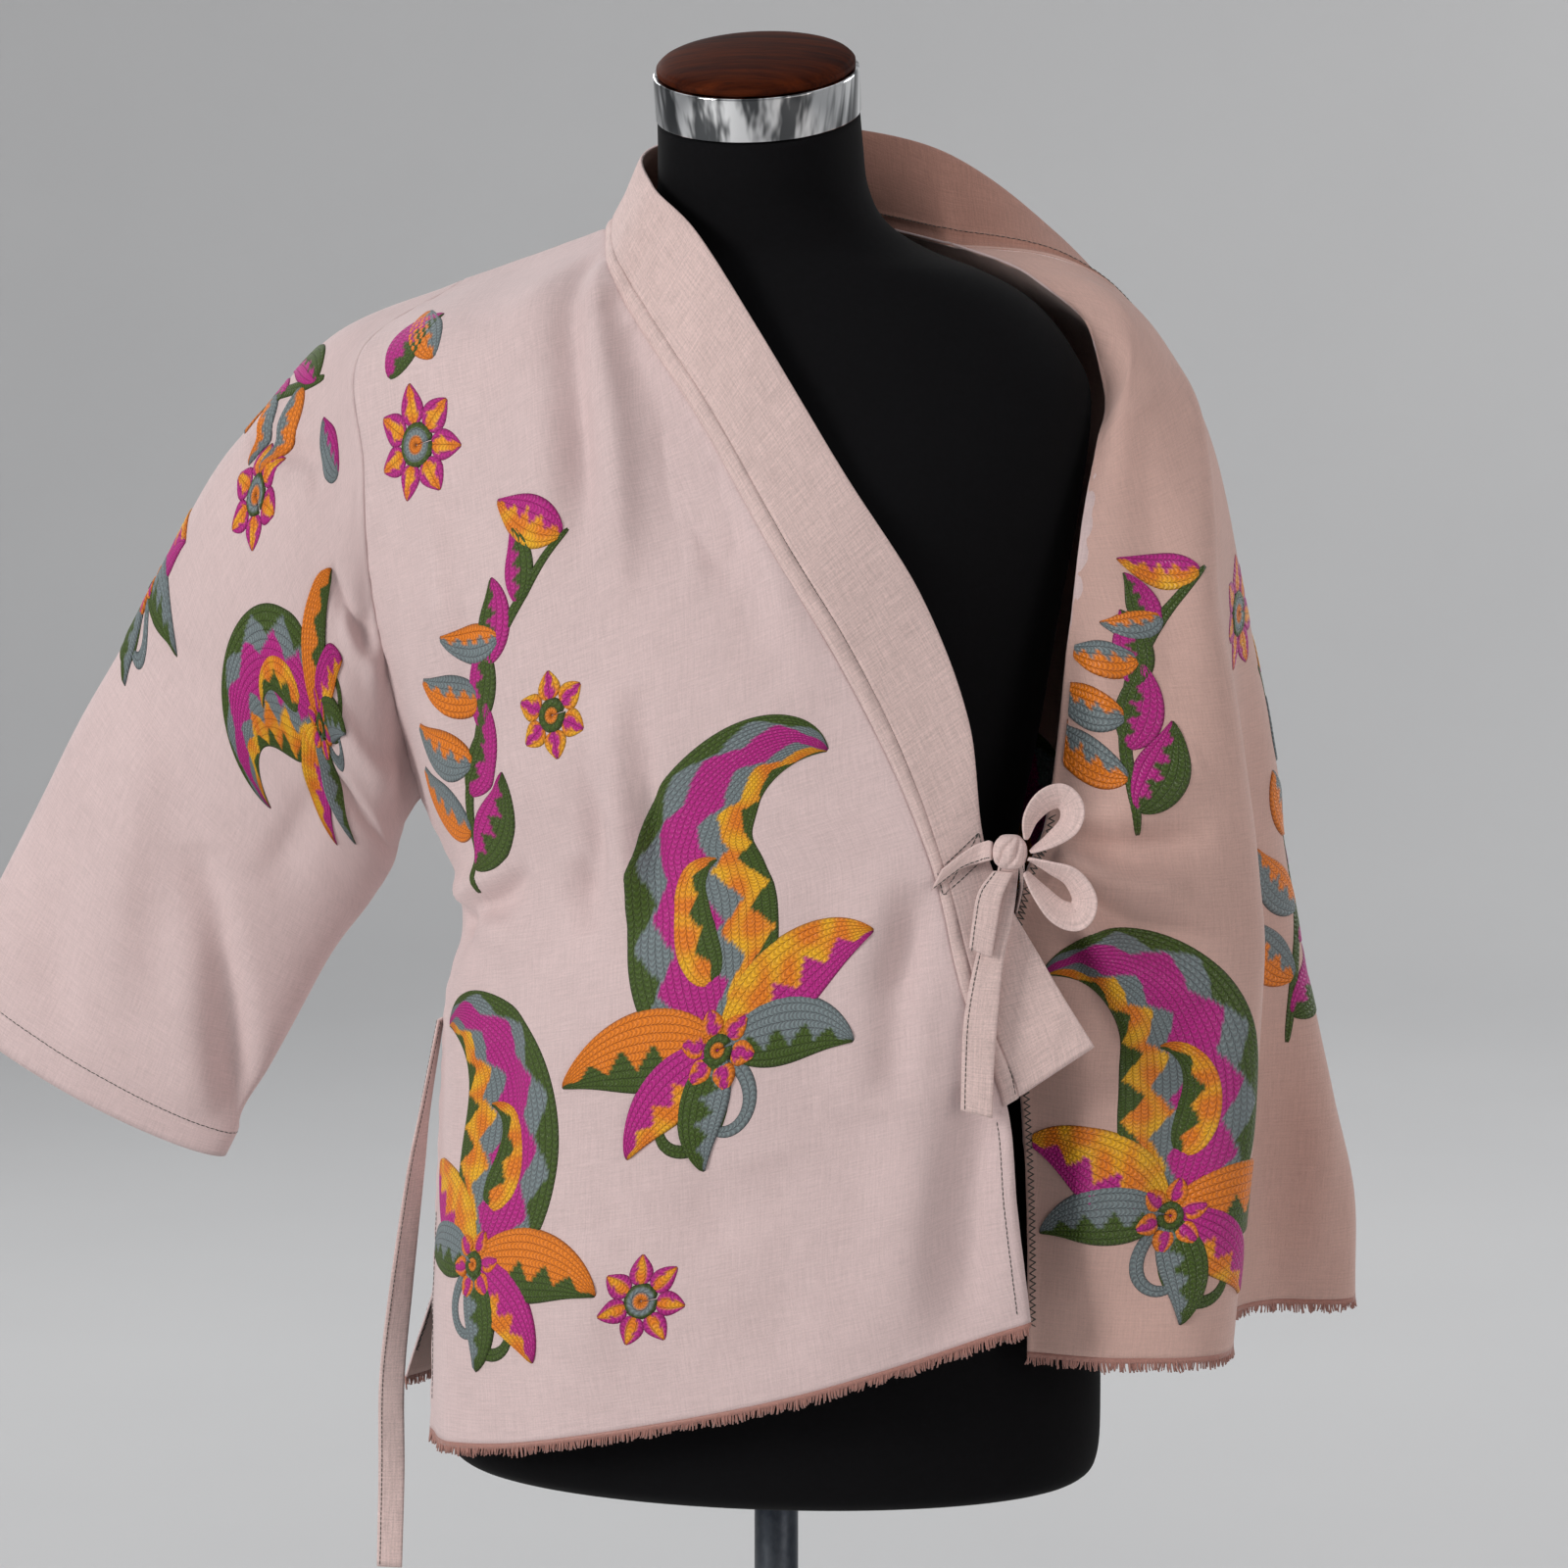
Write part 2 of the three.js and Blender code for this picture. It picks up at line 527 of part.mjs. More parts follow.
function drawBack(piece) {
  const moves = new Map();
  piece.scale = piece.grid.map((row) => row.map(() => 1));
  for (const line of edgeLines(piece.grid, piece.closed)) {
    const entries = line.map(({ at: [r, c] }) => shared.get(keyOf(piece.grid[r][c])));
    line.forEach(({ at: [r, c], inside: [ri, ci] }, k) => {
      if (entries[k].count < 2) return;
      const normal = entries[k].sum.clone().normalize();
      const own = Math.abs(piece.normals[r][c].dot(normal));
      piece.scale[r][c] = 1 / Math.max(LEAST_MITRE, own);
      const lines = [entries[k - 1], entries[k + 1]];
      if (!lines.some((entry) => entry && entry.count > 1)) return;
      const p = piece.grid[r][c];
      const ends = [line[Math.max(k - 1, 0)].at, line[Math.min(k + 1, line.length - 1)].at];
      const from = piece.grid[ends[0][0]][ends[0][1]];
      const to = piece.grid[ends[1][0]][ends[1][1]];
      const tangent = to.clone().sub(from).normalize();
      const inward = piece.grid[ri][ci].clone().sub(p);
      inward.addScaledVector(normal, -inward.dot(normal));
      inward.addScaledVector(tangent, -inward.dot(tangent));
      const move = moves.get(`${r},${c}`) ?? { r, c, by: new THREE.Vector3(), normal };
      move.by.addScaledVector(inward.normalize(), piece.draw ?? SEAM_GAP / 2);
      moves.set(`${r},${c}`, move);
    });
  }
  piece.points = piece.grid.map((row) => row.map((p) => p.clone()));
  for (const { r, c, by, normal } of moves.values()) {
    piece.points[r][c].add(by);
    piece.normals[r][c] = normal;
  }
}

function closedBody(positions, indices) {
  const geometry = new THREE.BufferGeometry();
  let volume = 0;
  const corner = (i) => new THREE.Vector3(...positions.slice(3 * i, 3 * i + 3));
  for (let k = 0; k < indices.length; k += 3) {
    const [a, b, c] = [corner(indices[k]), corner(indices[k + 1]), corner(indices[k + 2])];
    volume += a.dot(b.cross(c));
  }
  const ordered = volume > 0 ? indices : indices.slice().reverse();
  geometry.setAttribute('position', new THREE.Float32BufferAttribute(positions, 3));
  geometry.setIndex(ordered);
  geometry.computeVertexNormals();
  return geometry;
}

function clothWall(points, normals, scale, wall, closed) {
  const rows = points.length;
  const columns = points[0].length;
  const positions = [];
  for (const sign of [1, -1]) {
    points.forEach((row, r) => row.forEach((p, c) => {
      const q = p.clone().addScaledVector(normals[r][c], sign * 0.5 * wall * scale[r][c]);
      positions.push(q.x, q.y, q.z);
    }));
  }
  const under = rows * columns;
  const at = (r, c) => r * columns + (c % columns);
  const indices = [];
  const spans = closed ? columns : columns - 1;
  const quad = (a, b, c, d) => indices.push(a, b, c, a, c, d);
  for (let r = 0; r < rows - 1; r += 1) {
    for (let c = 0; c < spans; c += 1) {
      quad(at(r, c), at(r + 1, c), at(r + 1, c + 1), at(r, c + 1));
      quad(under + at(r, c), under + at(r, c + 1), under + at(r + 1, c + 1), under + at(r + 1, c));
    }
    if (!closed) {
      quad(at(r, 0), under + at(r, 0), under + at(r + 1, 0), at(r + 1, 0));
      const e = columns - 1;
      quad(at(r + 1, e), under + at(r + 1, e), under + at(r, e), at(r, e));
    }
  }
  for (let c = 0; c < spans; c += 1) {
    quad(at(0, c + 1), under + at(0, c + 1), under + at(0, c), at(0, c));
    const e = rows - 1;
    quad(at(e, c), under + at(e, c), under + at(e, c + 1), at(e, c + 1));
  }
  return closedBody(positions, indices);
}

// ---------------------------------------------------------------- ties and bow
function strip(grid, wall) {
  const normals = gridNormals(grid, false, 1);
  return clothWall(grid, normals, grid.map((row) => row.map(() => 1)), wall, false);
}

function tie(table) {
  return strip(gridFrom(table, 2, 1), TIE_CLOTH);
}

function loop(table) {
  const edges = table.map(({ x, z, half }) => ({
    near: [x, BOW_FRONT - half, z],
    far: [x, BOW_FRONT + half, z],
  }));
  return strip(gridFrom(edges, 2, 1), TIE_CLOTH);
}

// ---------------------------------------------------------------- hem fringe
function fringe(hem) {
  const curve = new THREE.CatmullRomCurve3(hem, false, 'centripetal');
  const length = curve.getLength();
  const count = Math.floor((length - FRINGE_LOCK) / FRINGE_PITCH);
  const margin = (length - (count - 1) * FRINGE_PITCH - FRINGE_LOCK) / 2;
  const places = [];
  for (let k = 0; k < count; k += 1) {
    places.push(margin + k * FRINGE_PITCH, margin + k * FRINGE_PITCH + FRINGE_LOCK);
  }
  const positions = [];
  const indices = [];
  const quad = (a, b, c, d) => indices.push(a, b, c, a, c, d);
  const top = -SEAM_GAP - FRINGE_WALL / 4;
  places.forEach((s) => {
    const p = curve.getPointAt(s / length);
    const t = curve.getTangentAt(s / length);
    const out = new THREE.Vector3(t.y, -t.x, 0).normalize().multiplyScalar(FRINGE_WALL / 2);
    const corners = [[1, top], [-1, top], [-1, top - FRINGE_ROOT], [1, top - FRINGE_ROOT]];
    corners.forEach(([side, drop]) => positions.push(p.x + side * out.x, p.y + side * out.y, p.z + drop));
  });
  for (let k = 0; k < places.length - 1; k += 1) {
    const a = 4 * k;
    const b = a + 4;
    quad(a, a + 1, b + 1, b);
    quad(a + 1, a + 2, b + 2, b + 1);
    quad(a + 3, a, b, b + 3);
    if (k % 2 === 0) {
      const p = curve.getPointAt((places[k] + places[k + 1]) / (2 * length));
      const tip = positions.length / 3;
      positions.push(p.x, p.y, p.z + top - FRINGE_LENGTH);
      const base = [a + 2, a + 3, b + 3, b + 2];
      base.forEach((corner, j) => indices.push(corner, base[(j + 1) % base.length], tip));
    } else {
      quad(a + 2, a + 3, b + 3, b + 2);
    }
  }
  const e = 4 * (places.length - 1);
  quad(3, 2, 1, 0);
  quad(e, e + 1, e + 2, e + 3);
  return closedBody(positions, indices);
}

// ---------------------------------------------------------------- form and stand
function torso() {
  const positions = [];
  const indices = [];
  FORM.forEach((section) => {
    const lean = Math.tan(THREE.MathUtils.degToRad(section.lean));
    for (let k = 0; k < FORM_SIDES; k += 1) {
      const a = (2 * Math.PI * k) / FORM_SIDES;
      const depth = Math.sin(a) < 0 ? section.centre - section.front : section.back - section.centre;
      const y = depth * Math.sin(a);
      positions.push(section.half_width * Math.cos(a), section.centre + y, section.z + lean * y);
    }
  });
  for (let r = 0; r < FORM.length - 1; r += 1) {
    for (let k = 0; k < FORM_SIDES; k += 1) {
      const a = r * FORM_SIDES + k;
      const b = r * FORM_SIDES + ((k + 1) % FORM_SIDES);
      indices.push(a, b, b + FORM_SIDES, a, b + FORM_SIDES, a + FORM_SIDES);
    }
  }
  const ends = [{ row: 0, flip: true }, { row: FORM.length - 1, flip: false }];
  ends.forEach(({ row, flip }) => {
    const centre = positions.length / 3;
    positions.push(0, FORM[row].centre, FORM[row].z);
    for (let k = 0; k < FORM_SIDES; k += 1) {
      const a = row * FORM_SIDES + k;
      const b = row * FORM_SIDES + ((k + 1) % FORM_SIDES);
      indices.push(...(flip ? [b, a, centre] : [a, b, centre]));
    }
  });
  return closedBody(positions, indices);
}

function turned(profile, sides) {
  const geometry = new THREE.LatheGeometry(profile.map(([r, z]) => new THREE.Vector2(r, z)), sides);
  return geometry.rotateX(Math.PI / 2);
}

// ---------------------------------------------------------------- assembly
const jacketOnForm = new THREE.Group();

function add(name, geometry, cloth, parent = jacketOnForm) {
  const mesh = new THREE.Mesh(geometry, cloth);
  mesh.name = name;
  parent.add(mesh);
  return mesh;
}

for (const piece of pieces) {
  drawBack(piece);
  add(piece.name, clothWall(piece.points, piece.normals, piece.scale, piece.wall, piece.closed), piece.cloth);
}

add('tie_band', tie(TIE_BAND), bandCloth);
add('tie_side', tie(TIE_SIDE), bandCloth);
add('bow_tail_short', tie(TAIL_SHORT), bandCloth);
add('bow_tail_long', tie(TAIL_LONG), bandCloth);
add('tie_inner', tie(TIE_INNER), bandCloth);
add('bow_loop_upper', loop(LOOP_UPPER), bandCloth);
add('bow_loop_lower', loop(LOOP_LOWER), bandCloth);
const knot = add('bow_knot', new THREE.SphereGeometry(1, 14, 9), bandCloth);
knot.scale.set(...KNOT.radii);
knot.position.set(...KNOT.centre);

add('fringe_right', fringe(frontRight[frontRight.length - 1]), fringeThread);
add('fringe_left', fringe(frontLeft[frontLeft.length - 1]), fringeThread);
add('fringe_back', fringe(back[back.length - 1]), fringeThread);

add('form_torso', torso(), jersey);
const neck = new THREE.Group();
neck.position.set(...NECK_TOP);
neck.rotation.x = NECK_TILT;
jacketOnForm.add(neck);
const neckBand = turned([
  [0, SEAM_GAP], [NECK_BAND_RADIUS, SEAM_GAP], [NECK_BAND_RADIUS, NECK_BAND_HEIGHT], [0, NECK_BAND_HEIGHT],
], 48);
add('neck_band', neckBand, chrome, neck);
const capBase = NECK_BAND_HEIGHT + SEAM_GAP;
const neckCap = turned([
  [0, capBase], [NECK_CAP_RADIUS, capBase], [NECK_CAP_RADIUS, capBase + NECK_CAP_EDGE],
  [0.94 * NECK_CAP_RADIUS, capBase + NECK_CAP_EDGE + 0.3 * NECK_CAP_DOME],
  [0.75 * NECK_CAP_RADIUS, capBase + NECK_CAP_EDGE + 0.68 * NECK_CAP_DOME],
  [0.4 * NECK_CAP_RADIUS, capBase + NECK_CAP_EDGE + 0.93 * NECK_CAP_DOME],
  [0, capBase + NECK_CAP_EDGE + NECK_CAP_DOME],
], 48);
add('neck_cap', neckCap, wood, neck);

const poleFoot = BASE_HEIGHT + SEAM_GAP;
const flangeTop = FLANGE_BASE + FLANGE_HEIGHT;
add('form_flange', turned([
  [0, FLANGE_BASE], [FLANGE_RADIUS, FLANGE_BASE], [FLANGE_RADIUS, flangeTop], [0, flangeTop],
], 36), steel);
add('pole', turned([
  [0, poleFoot], [POLE_RADIUS, poleFoot],
  [POLE_RADIUS, FLANGE_BASE - SEAM_GAP], [0, FLANGE_BASE - SEAM_GAP],
], 32), steel);
const hubBore = POLE_RADIUS + SEAM_GAP;
add('base_hub', turned([
  [hubBore, poleFoot], [HUB_RADIUS, poleFoot], [HUB_RADIUS, BASE_HEIGHT + 0.85 * HUB_HEIGHT],
  [0.85 * HUB_RADIUS, BASE_HEIGHT + HUB_HEIGHT], [hubBore, BASE_HEIGHT + HUB_HEIGHT], [hubBore, poleFoot],
], 32), steel);
add('base_plate', turned([
  [0, 0], [BASE_RADIUS, 0], [BASE_RADIUS, 0.6 * BASE_HEIGHT],
  [BASE_RADIUS - 0.5 * BASE_HEIGHT, BASE_HEIGHT], [0, BASE_HEIGHT],
], 64), steel);

export default jacketOnForm;
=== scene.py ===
import json
import math

import bpy
import numpy as np
from bpy.props import FloatProperty, FloatVectorProperty, PointerProperty
from bpy.types import Operator, Panel, PropertyGroup
from mathutils import Matrix

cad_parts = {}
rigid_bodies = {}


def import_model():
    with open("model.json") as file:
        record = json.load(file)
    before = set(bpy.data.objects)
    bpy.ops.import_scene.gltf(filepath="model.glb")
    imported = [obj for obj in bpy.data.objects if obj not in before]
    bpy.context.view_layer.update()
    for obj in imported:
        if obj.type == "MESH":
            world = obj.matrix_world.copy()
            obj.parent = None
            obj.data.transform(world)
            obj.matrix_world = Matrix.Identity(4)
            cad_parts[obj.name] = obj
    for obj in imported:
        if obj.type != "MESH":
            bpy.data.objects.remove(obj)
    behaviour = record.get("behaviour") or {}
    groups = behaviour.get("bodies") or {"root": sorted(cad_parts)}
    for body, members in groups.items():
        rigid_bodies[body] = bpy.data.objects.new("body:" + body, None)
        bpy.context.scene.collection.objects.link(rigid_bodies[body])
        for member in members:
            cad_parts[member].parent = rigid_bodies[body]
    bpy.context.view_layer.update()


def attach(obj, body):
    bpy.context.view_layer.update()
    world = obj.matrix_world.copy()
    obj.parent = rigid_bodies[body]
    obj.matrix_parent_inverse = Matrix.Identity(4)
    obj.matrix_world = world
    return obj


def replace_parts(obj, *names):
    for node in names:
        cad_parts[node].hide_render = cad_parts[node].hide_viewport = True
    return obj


bl_info = {
    "name": "Kimono jacket on a dress form",
    "version": (1, 0, 0),
    "blender": (4, 5, 0),
    "location": "View3D > Sidebar > Jacket",
    "description": "Wrap jacket of heathered cloth with chain-stitch embroidery, on a dress form and stand",
    "category": "Object",
}

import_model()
MM = 0.001

# ---------------------------------------------------------------- panels: rows from shoulder to hem
# Each row holds the points of the named columns, in millimetres.
# side, outer, middle, inner, seam
FRONT_RIGHT = MM * np.array([
    [(-175, 0, 1361), (-153, -2, 1369), (-132, -4, 1376), (-112, -10, 1383), (-91, -18, 1389)],
    [(-227, -40, 1322), (-186, -66, 1334), (-148, -84, 1342), (-112, -92, 1356), (-75, -86, 1371)],
    [(-221, -60, 1262), (-183, -88, 1278), (-140, -106, 1292), (-97, -114, 1314), (-55, -107, 1341)],
    [(-219, -57, 1200), (-180, -98, 1216), (-128, -127, 1234), (-74, -138, 1262), (-17, -128, 1291)],
    [(-212, -42, 1140), (-176, -98, 1152), (-120, -138, 1170), (-52, -156, 1198), (25, -155, 1227)],
    [(-205, 0, 1070), (-172, -84, 1086), (-112, -136, 1106), (-32, -165, 1134), (63, -168, 1169)],
    [(-172, -30, 1013), (-150, -86, 1026), (-98, -132, 1044), (-14, -166, 1074), (94, -168, 1110)],
    [(-183, -30, 960), (-157, -92, 970), (-98, -140, 986), (0, -170, 1014), (116, -165, 1053)],
    [(-187, -29, 905), (-161, -95, 912), (-99, -146, 926), (12, -171, 954), (130, -162, 993)],
    [(-190, -26, 850), (-164, -98, 856), (-100, -150, 868), (22, -171, 894), (152, -156, 930)],
    [(-191, -33, 790), (-166, -106, 796), (-100, -153, 806), (30, -171, 834), (158, -154, 872)],
    [(-187, -60, 717), (-160, -120, 724), (-92, -157, 738), (40, -171, 770), (165, -150, 811)],
])
# side, panel, fold, inside, back, turn, seam
FRONT_LEFT = MM * np.array([
    [(176, -12, 1338), (165, -10, 1349), (153, -9, 1358), (140, -8, 1367),
     (127, -8, 1373), (113, -8, 1378), (98, -8, 1383)],
    [(187, -25, 1297), (197, -24, 1323), (195, -10, 1343), (187, 0, 1354),
     (177, 5, 1361), (168, 7, 1368), (159, 8, 1374)],
    [(184, -42, 1275), (198, -42, 1290), (210, -30, 1303), (217, -12, 1315),
     (216, 4, 1326), (208, 14, 1336), (198, 20, 1345)],
    [(179, -62, 1235), (205, -60, 1240), (228, -44, 1246), (242, -16, 1254),
     (244, 10, 1262), (238, 36, 1272), (224, 56, 1284)],
    [(174, -84, 1165), (214, -92, 1163), (256, -72, 1164), (254, -28, 1168),
     (254, 12, 1172), (259, 46, 1178), (246, 82, 1190)],
    [(166, -100, 1080), (215, -108, 1078), (271, -78, 1080), (256, -22, 1083),
     (259, 20, 1086), (275, 55, 1090), (262, 104, 1098)],
    [(156, -112, 1048), (208, -114, 1042), (276, -80, 1042), (257, -20, 1044),
     (261, 22, 1046), (279, 57, 1050), (266, 109, 1056)],
    [(149, -118, 1010), (205, -116, 1004), (279, -80, 1004), (258, -18, 1005),
     (263, 24, 1006), (286, 59, 1010), (270, 113, 1016)],
    [(152, -113, 958), (209, -115, 954), (277, -82, 954), (258, -15, 954),
     (264, 27, 955), (295, 60, 958), (276, 117, 964)],
    [(155, -108, 905), (212, -115, 902), (275, -83, 902), (257, -10, 902),
     (266, 32, 902), (307, 60, 904), (284, 119, 908)],
    [(157, -106, 850), (213, -115, 848), (269, -84, 847), (257, -2, 846),
     (269, 40, 846), (320, 60, 849), (293, 120, 853)],
    [(157, -105, 784), (213, -115, 785), (263, -85, 784), (257, 12, 784),
     (276, 49, 784), (322, 60, 785), (300, 120, 789)],
])
# right, right_mid, right_neck, centre, left_neck, left_mid, left
BACK = MM * np.array([
    [(-175, 0, 1361), (-132, -4, 1376), (-91, -18, 1389), (0, 45, 1398),
     (98, -8, 1383), (140, -8, 1367), (176, -12, 1338)],
    [(-222, 25, 1322), (-165, 60, 1330), (-92, 80, 1345), (0, 88, 1352),
     (92, 80, 1342), (162, 62, 1322), (206, 30, 1300)],
    [(-222, 40, 1262), (-165, 75, 1265), (-92, 94, 1272), (0, 102, 1278),
     (92, 96, 1268), (163, 76, 1258), (216, 42, 1248)],
    [(-220, 40, 1200), (-165, 79, 1205), (-91, 99, 1210), (0, 105, 1216),
     (91, 99, 1208), (165, 78, 1198), (217, 40, 1195)],
    [(-213, 26, 1135), (-165, 72, 1140), (-90, 96, 1148), (0, 102, 1156),
     (90, 97, 1150), (163, 70, 1145), (210, 8, 1140)],
    [(-205, 0, 1070), (-164, 58, 1076), (-89, 88, 1088), (0, 96, 1100),
     (92, 88, 1100), (172, 30, 1095), (166, -100, 1080)],
    [(-172, -30, 1013), (-158, 38, 1018), (-88, 78, 1030), (0, 86, 1042),
     (98, 72, 1048), (172, 4, 1052), (156, -112, 1048)],
    [(-183, -30, 960), (-164, 40, 965), (-90, 80, 976), (0, 88, 990),
     (100, 70, 1000), (168, 0, 1008), (149, -118, 1010)],
    [(-187, -29, 905), (-170, 46, 910), (-94, 88, 920), (0, 98, 934),
     (103, 78, 946), (174, 6, 955), (152, -113, 958)],
    [(-190, -26, 850), (-178, 58, 855), (-98, 100, 866), (0, 110, 880),
     (106, 90, 892), (182, 14, 900), (155, -108, 905)],
    [(-197, 0, 795), (-186, 72, 800), (-102, 110, 810), (0, 118, 824),
     (109, 99, 838), (194, 10, 848), (164, -93, 850)],
    [(-222, 20, 726), (-190, 85, 728), (-105, 117, 738), (0, 124, 752),
     (112, 106, 768), (200, 16, 780), (167, -89, 783)],
])
# top, front, under, back
SLEEVE_RIGHT = MM * np.array([
    [(-250, 0, 1331), (-237, -60, 1190), (-217, 0, 1050), (-237, 48, 1190)],
    [(-296, 0, 1284), (-262, -57, 1160), (-221, 0, 1036), (-262, 50, 1160)],
    [(-328, 0, 1244), (-280, -52, 1130), (-226, 0, 1023), (-280, 48, 1130)],
    [(-375, 0, 1158), (-308, -44, 1078), (-237, 0, 1006), (-308, 42, 1078)],
    [(-411, 0, 1096), (-338, -36, 1030), (-262, 0, 972), (-338, 34, 1030)],
    [(-455, 0, 1012), (-377, -28, 958), (-297, 0, 909), (-377, 26, 962)],
    [(-491, 0, 945), (-408, -22, 894), (-323, 0, 858), (-410, 22, 902)],
])
# top, front, under, back
SLEEVE_LEFT = MM * np.array([
    [(212, 22, 1268), (207, -50, 1150), (200, -44, 1056), (240, 66, 1146)],
    [(230, 26, 1190), (214, -60, 1085), (206, -8, 1048), (235, 84, 1098)],
    [(236, 22, 1100), (216, -62, 1040), (204, 10, 1030), (226, 96, 1050)],
    [(236, 20, 1020), (216, -60, 990), (203, 14, 986), (221, 100, 1000)],
    [(236, 20, 936), (216, -56, 932), (204, 16, 930), (222, 96, 938)],
])
# near, far
TIE_BAND = MM * np.array([
    [(113, -169.3, 1046), (119, -169.3, 1058)],
    [(128, -165.6, 1057), (133, -165.6, 1069)],
    [(139, -166, 1061), (142, -166, 1073)],
    [(145.8, -175, 1064), (145.8, -175, 1074)],
])
# near, far
TIE_SIDE = MM * np.array([
    [(152, -122, 1028), (155, -122, 1046)],
    [(157, -140, 1043), (158, -140, 1058)],
    [(159, -155, 1055), (159, -155, 1069)],
    [(158, -168.6, 1063), (158, -168.6, 1074)],
])
# near, far
TAIL_SHORT = MM * np.array([
    [(147, -178, 1058.6), (158, -178, 1058.4)],
    [(139, -176.5, 1047), (152, -176.5, 1045)],
    [(136, -175.5, 1032), (149, -175, 1029)],
    [(134, -174, 1017), (146, -173.5, 1012)],
])
# near, far
TAIL_LONG = MM * np.array([
    [(149, -171, 1060.7), (160, -171, 1060.7)],
    [(144, -169.5, 1037), (157, -169.5, 1035)],
    [(137, -169, 1012), (152, -169, 1011)],
    [(131, -168.5, 981), (149, -168.5, 981)],
    [(129.5, -168, 955), (147, -168, 954)],
    [(129, -167.5, 929), (146, -167.5, 925)],
])
# near, far
TIE_INNER = MM * np.array([
    [(-187.2, -36, 946), (-187, -24, 946)],
    [(-198, -37, 894), (-195, -25, 894)],
    [(-207, -34, 856), (-199, -24, 856)],
    [(-219, -29, 788), (-207, -21, 788)],
    [(-227, -22, 734), (-213, -18, 734)],
    [(-230, -14, 679), (-215, -12, 679)],
    [(-232, -12, 622), (-217, -12, 622)],
])
# free edge of the collar band: from the right end up, behind the neck, and down to the left end
BAND_FREE = MM * np.array([
    (198, -150, 962), (172, -153, 1005), (141, -156, 1064), (130, -152, 1135), (103, -143, 1200),
    (61, -135, 1263), (13, -117, 1336), (-25, -102, 1390), (-53, -82, 1415), (-63, -24, 1435),
    (0, 33, 1447),
    (84, 38, 1434), (149, 52, 1388), (189, 66, 1340), (212, 104, 1292), (232, 132, 1196),
    (238, 150, 1104), (240, 154, 1061), (243, 157, 1021), (248, 161, 969), (254, 162, 913),
])
LEFT_SLEEVE_LEAD = MM * np.array([16, 6, -12])
# x, z, half breadth along each bow loop, whose ribbon stands front to back at BOW_FRONT
LOOP_UPPER = MM * np.array([
    (164.5, 1076, 4), (167, 1087, 5.5), (174, 1096, 6.5), (183, 1099, 7),
    (188.5, 1093, 7), (187, 1084, 6.5), (178, 1076, 5.5), (167, 1069.5, 4),
])
LOOP_LOWER = MM * np.array([
    (165.7, 1065.6, 4), (178, 1061, 5.5), (189, 1056, 6.5), (195.5, 1045, 7),
    (192, 1036, 7), (182, 1038, 6.5), (172, 1048, 5.5), (164, 1058.5, 4),
])
BOW_FRONT = -178 * MM
KNOT_CENTRE = MM * np.array([156, -177.5, 1069])
KNOT_RADII = MM * np.array([8.6, 7.8, 9.0])
# z, half width, front, back, centre, lean in degrees
FORM = np.array([
    (690, 160, -104, 70, -18, 0), (695, 177, -119, 86, -18, 0), (706, 185, -127, 94, -18, 0),
    (735, 187, -130, 97, -18, 0), (790, 185, -129, 101, -18, 0), (850, 174, -121, 98, -18, 0),
    (920, 150, -110, 80, -18, 0), (985, 131, -105, 62, -18, 0), (1050, 138, -115, 64, -18, 0),
    (1120, 151, -138, 74, -18, 0), (1180, 161, -151, 82, -18, 0), (1240, 172, -143, 84, -18, 0),
    (1297, 178, -119, 78, -18, 0), (1325, 168, -109, 68, -20, 0), (1350, 148, -99, 54, -22, 0),
    (1366, 123, -93, 42, -26, 0), (1380, 88, -88, 30, -32, 2), (1394, 67, -90, 18, -38, 5),
    (1412, 58, -95, 12, -43, 9), (1432, 56, -103, 7, -48, 14), (1452.7, 55, -109, 1, -54, 17),
])
NECK_TILT = math.radians(17)
NECK_TOP = MM * np.array([0, -54.2, 1453])
FLANGE_BASE = 681.6
FORM_MIDDLE = -18  # y of the middle of the form below its shoulders
FORM_SHOULDER = 1385  # height above which the cloth is clear of the form anyway

UNDERARM_ROW = 5
SLIT_ROW = 9
BAND_END_ROW = 9
ROW_STEPS = 18  # grid rows for each table row
FRONT_STEPS, BACK_STEPS = 36, 24  # grid columns for each column of the right front, and of the other panels
RING_STEPS = 16  # grid rows between two sleeve sections
TIE_STEPS = 12  # cross sections for each row of a tie or loop
TINY = 1e-12  # keeps a length from being zero


# ---------------------------------------------------------------- surfaces
def along(points, t):
    """Uniform Catmull-Rom curve: p(i + f) = half of (-f+2f²-f³)a + (2-5f²+3f³)b + (f+4f²-3f³)c + (f³-f²)d.

    a, b, c, d are the four neighbours of the span, and the ends are reflected."""
    p = np.concatenate([2 * points[:1] - points[1:2], points, 2 * points[-1:] - points[-2:-1]])
    i = np.clip(np.floor(t).astype(int), 0, len(points) - 2)
    f = (t - i).reshape((-1,) + (1,) * (points.ndim - 1))
    a, b, c, d = p[i], p[i + 1], p[i + 2], p[i + 3]
    return 0.5 * ((-f + 2 * f**2 - f**3) * a + (2 - 5 * f**2 + 3 * f**3) * b
                  + (f + 4 * f**2 - 3 * f**3) * c + (f**3 - f**2) * d)


def steps_of(table, steps):
    """Places along a table, with the given number of steps from row to row."""
    return np.arange((len(table) - 1) * steps + 1) / steps


def surface_of(table, row_steps, column_steps):
    """Surface s(row, column): the curve through the rows of each column, then through the columns."""
    down = along(table, steps_of(table, row_steps)).transpose(1, 0, 2)
    return along(down, steps_of(down, column_steps)).transpose(1, 0, 2)


def lengths(points, axis):
    """Length along the grid lines of one axis, from their first point."""
    steps = np.linalg.norm(np.diff(points, axis=axis), axis=2)
    start = np.zeros_like(np.take(steps, [0], axis=axis))
    return np.concatenate([start, np.cumsum(steps, axis=axis)], axis=axis)


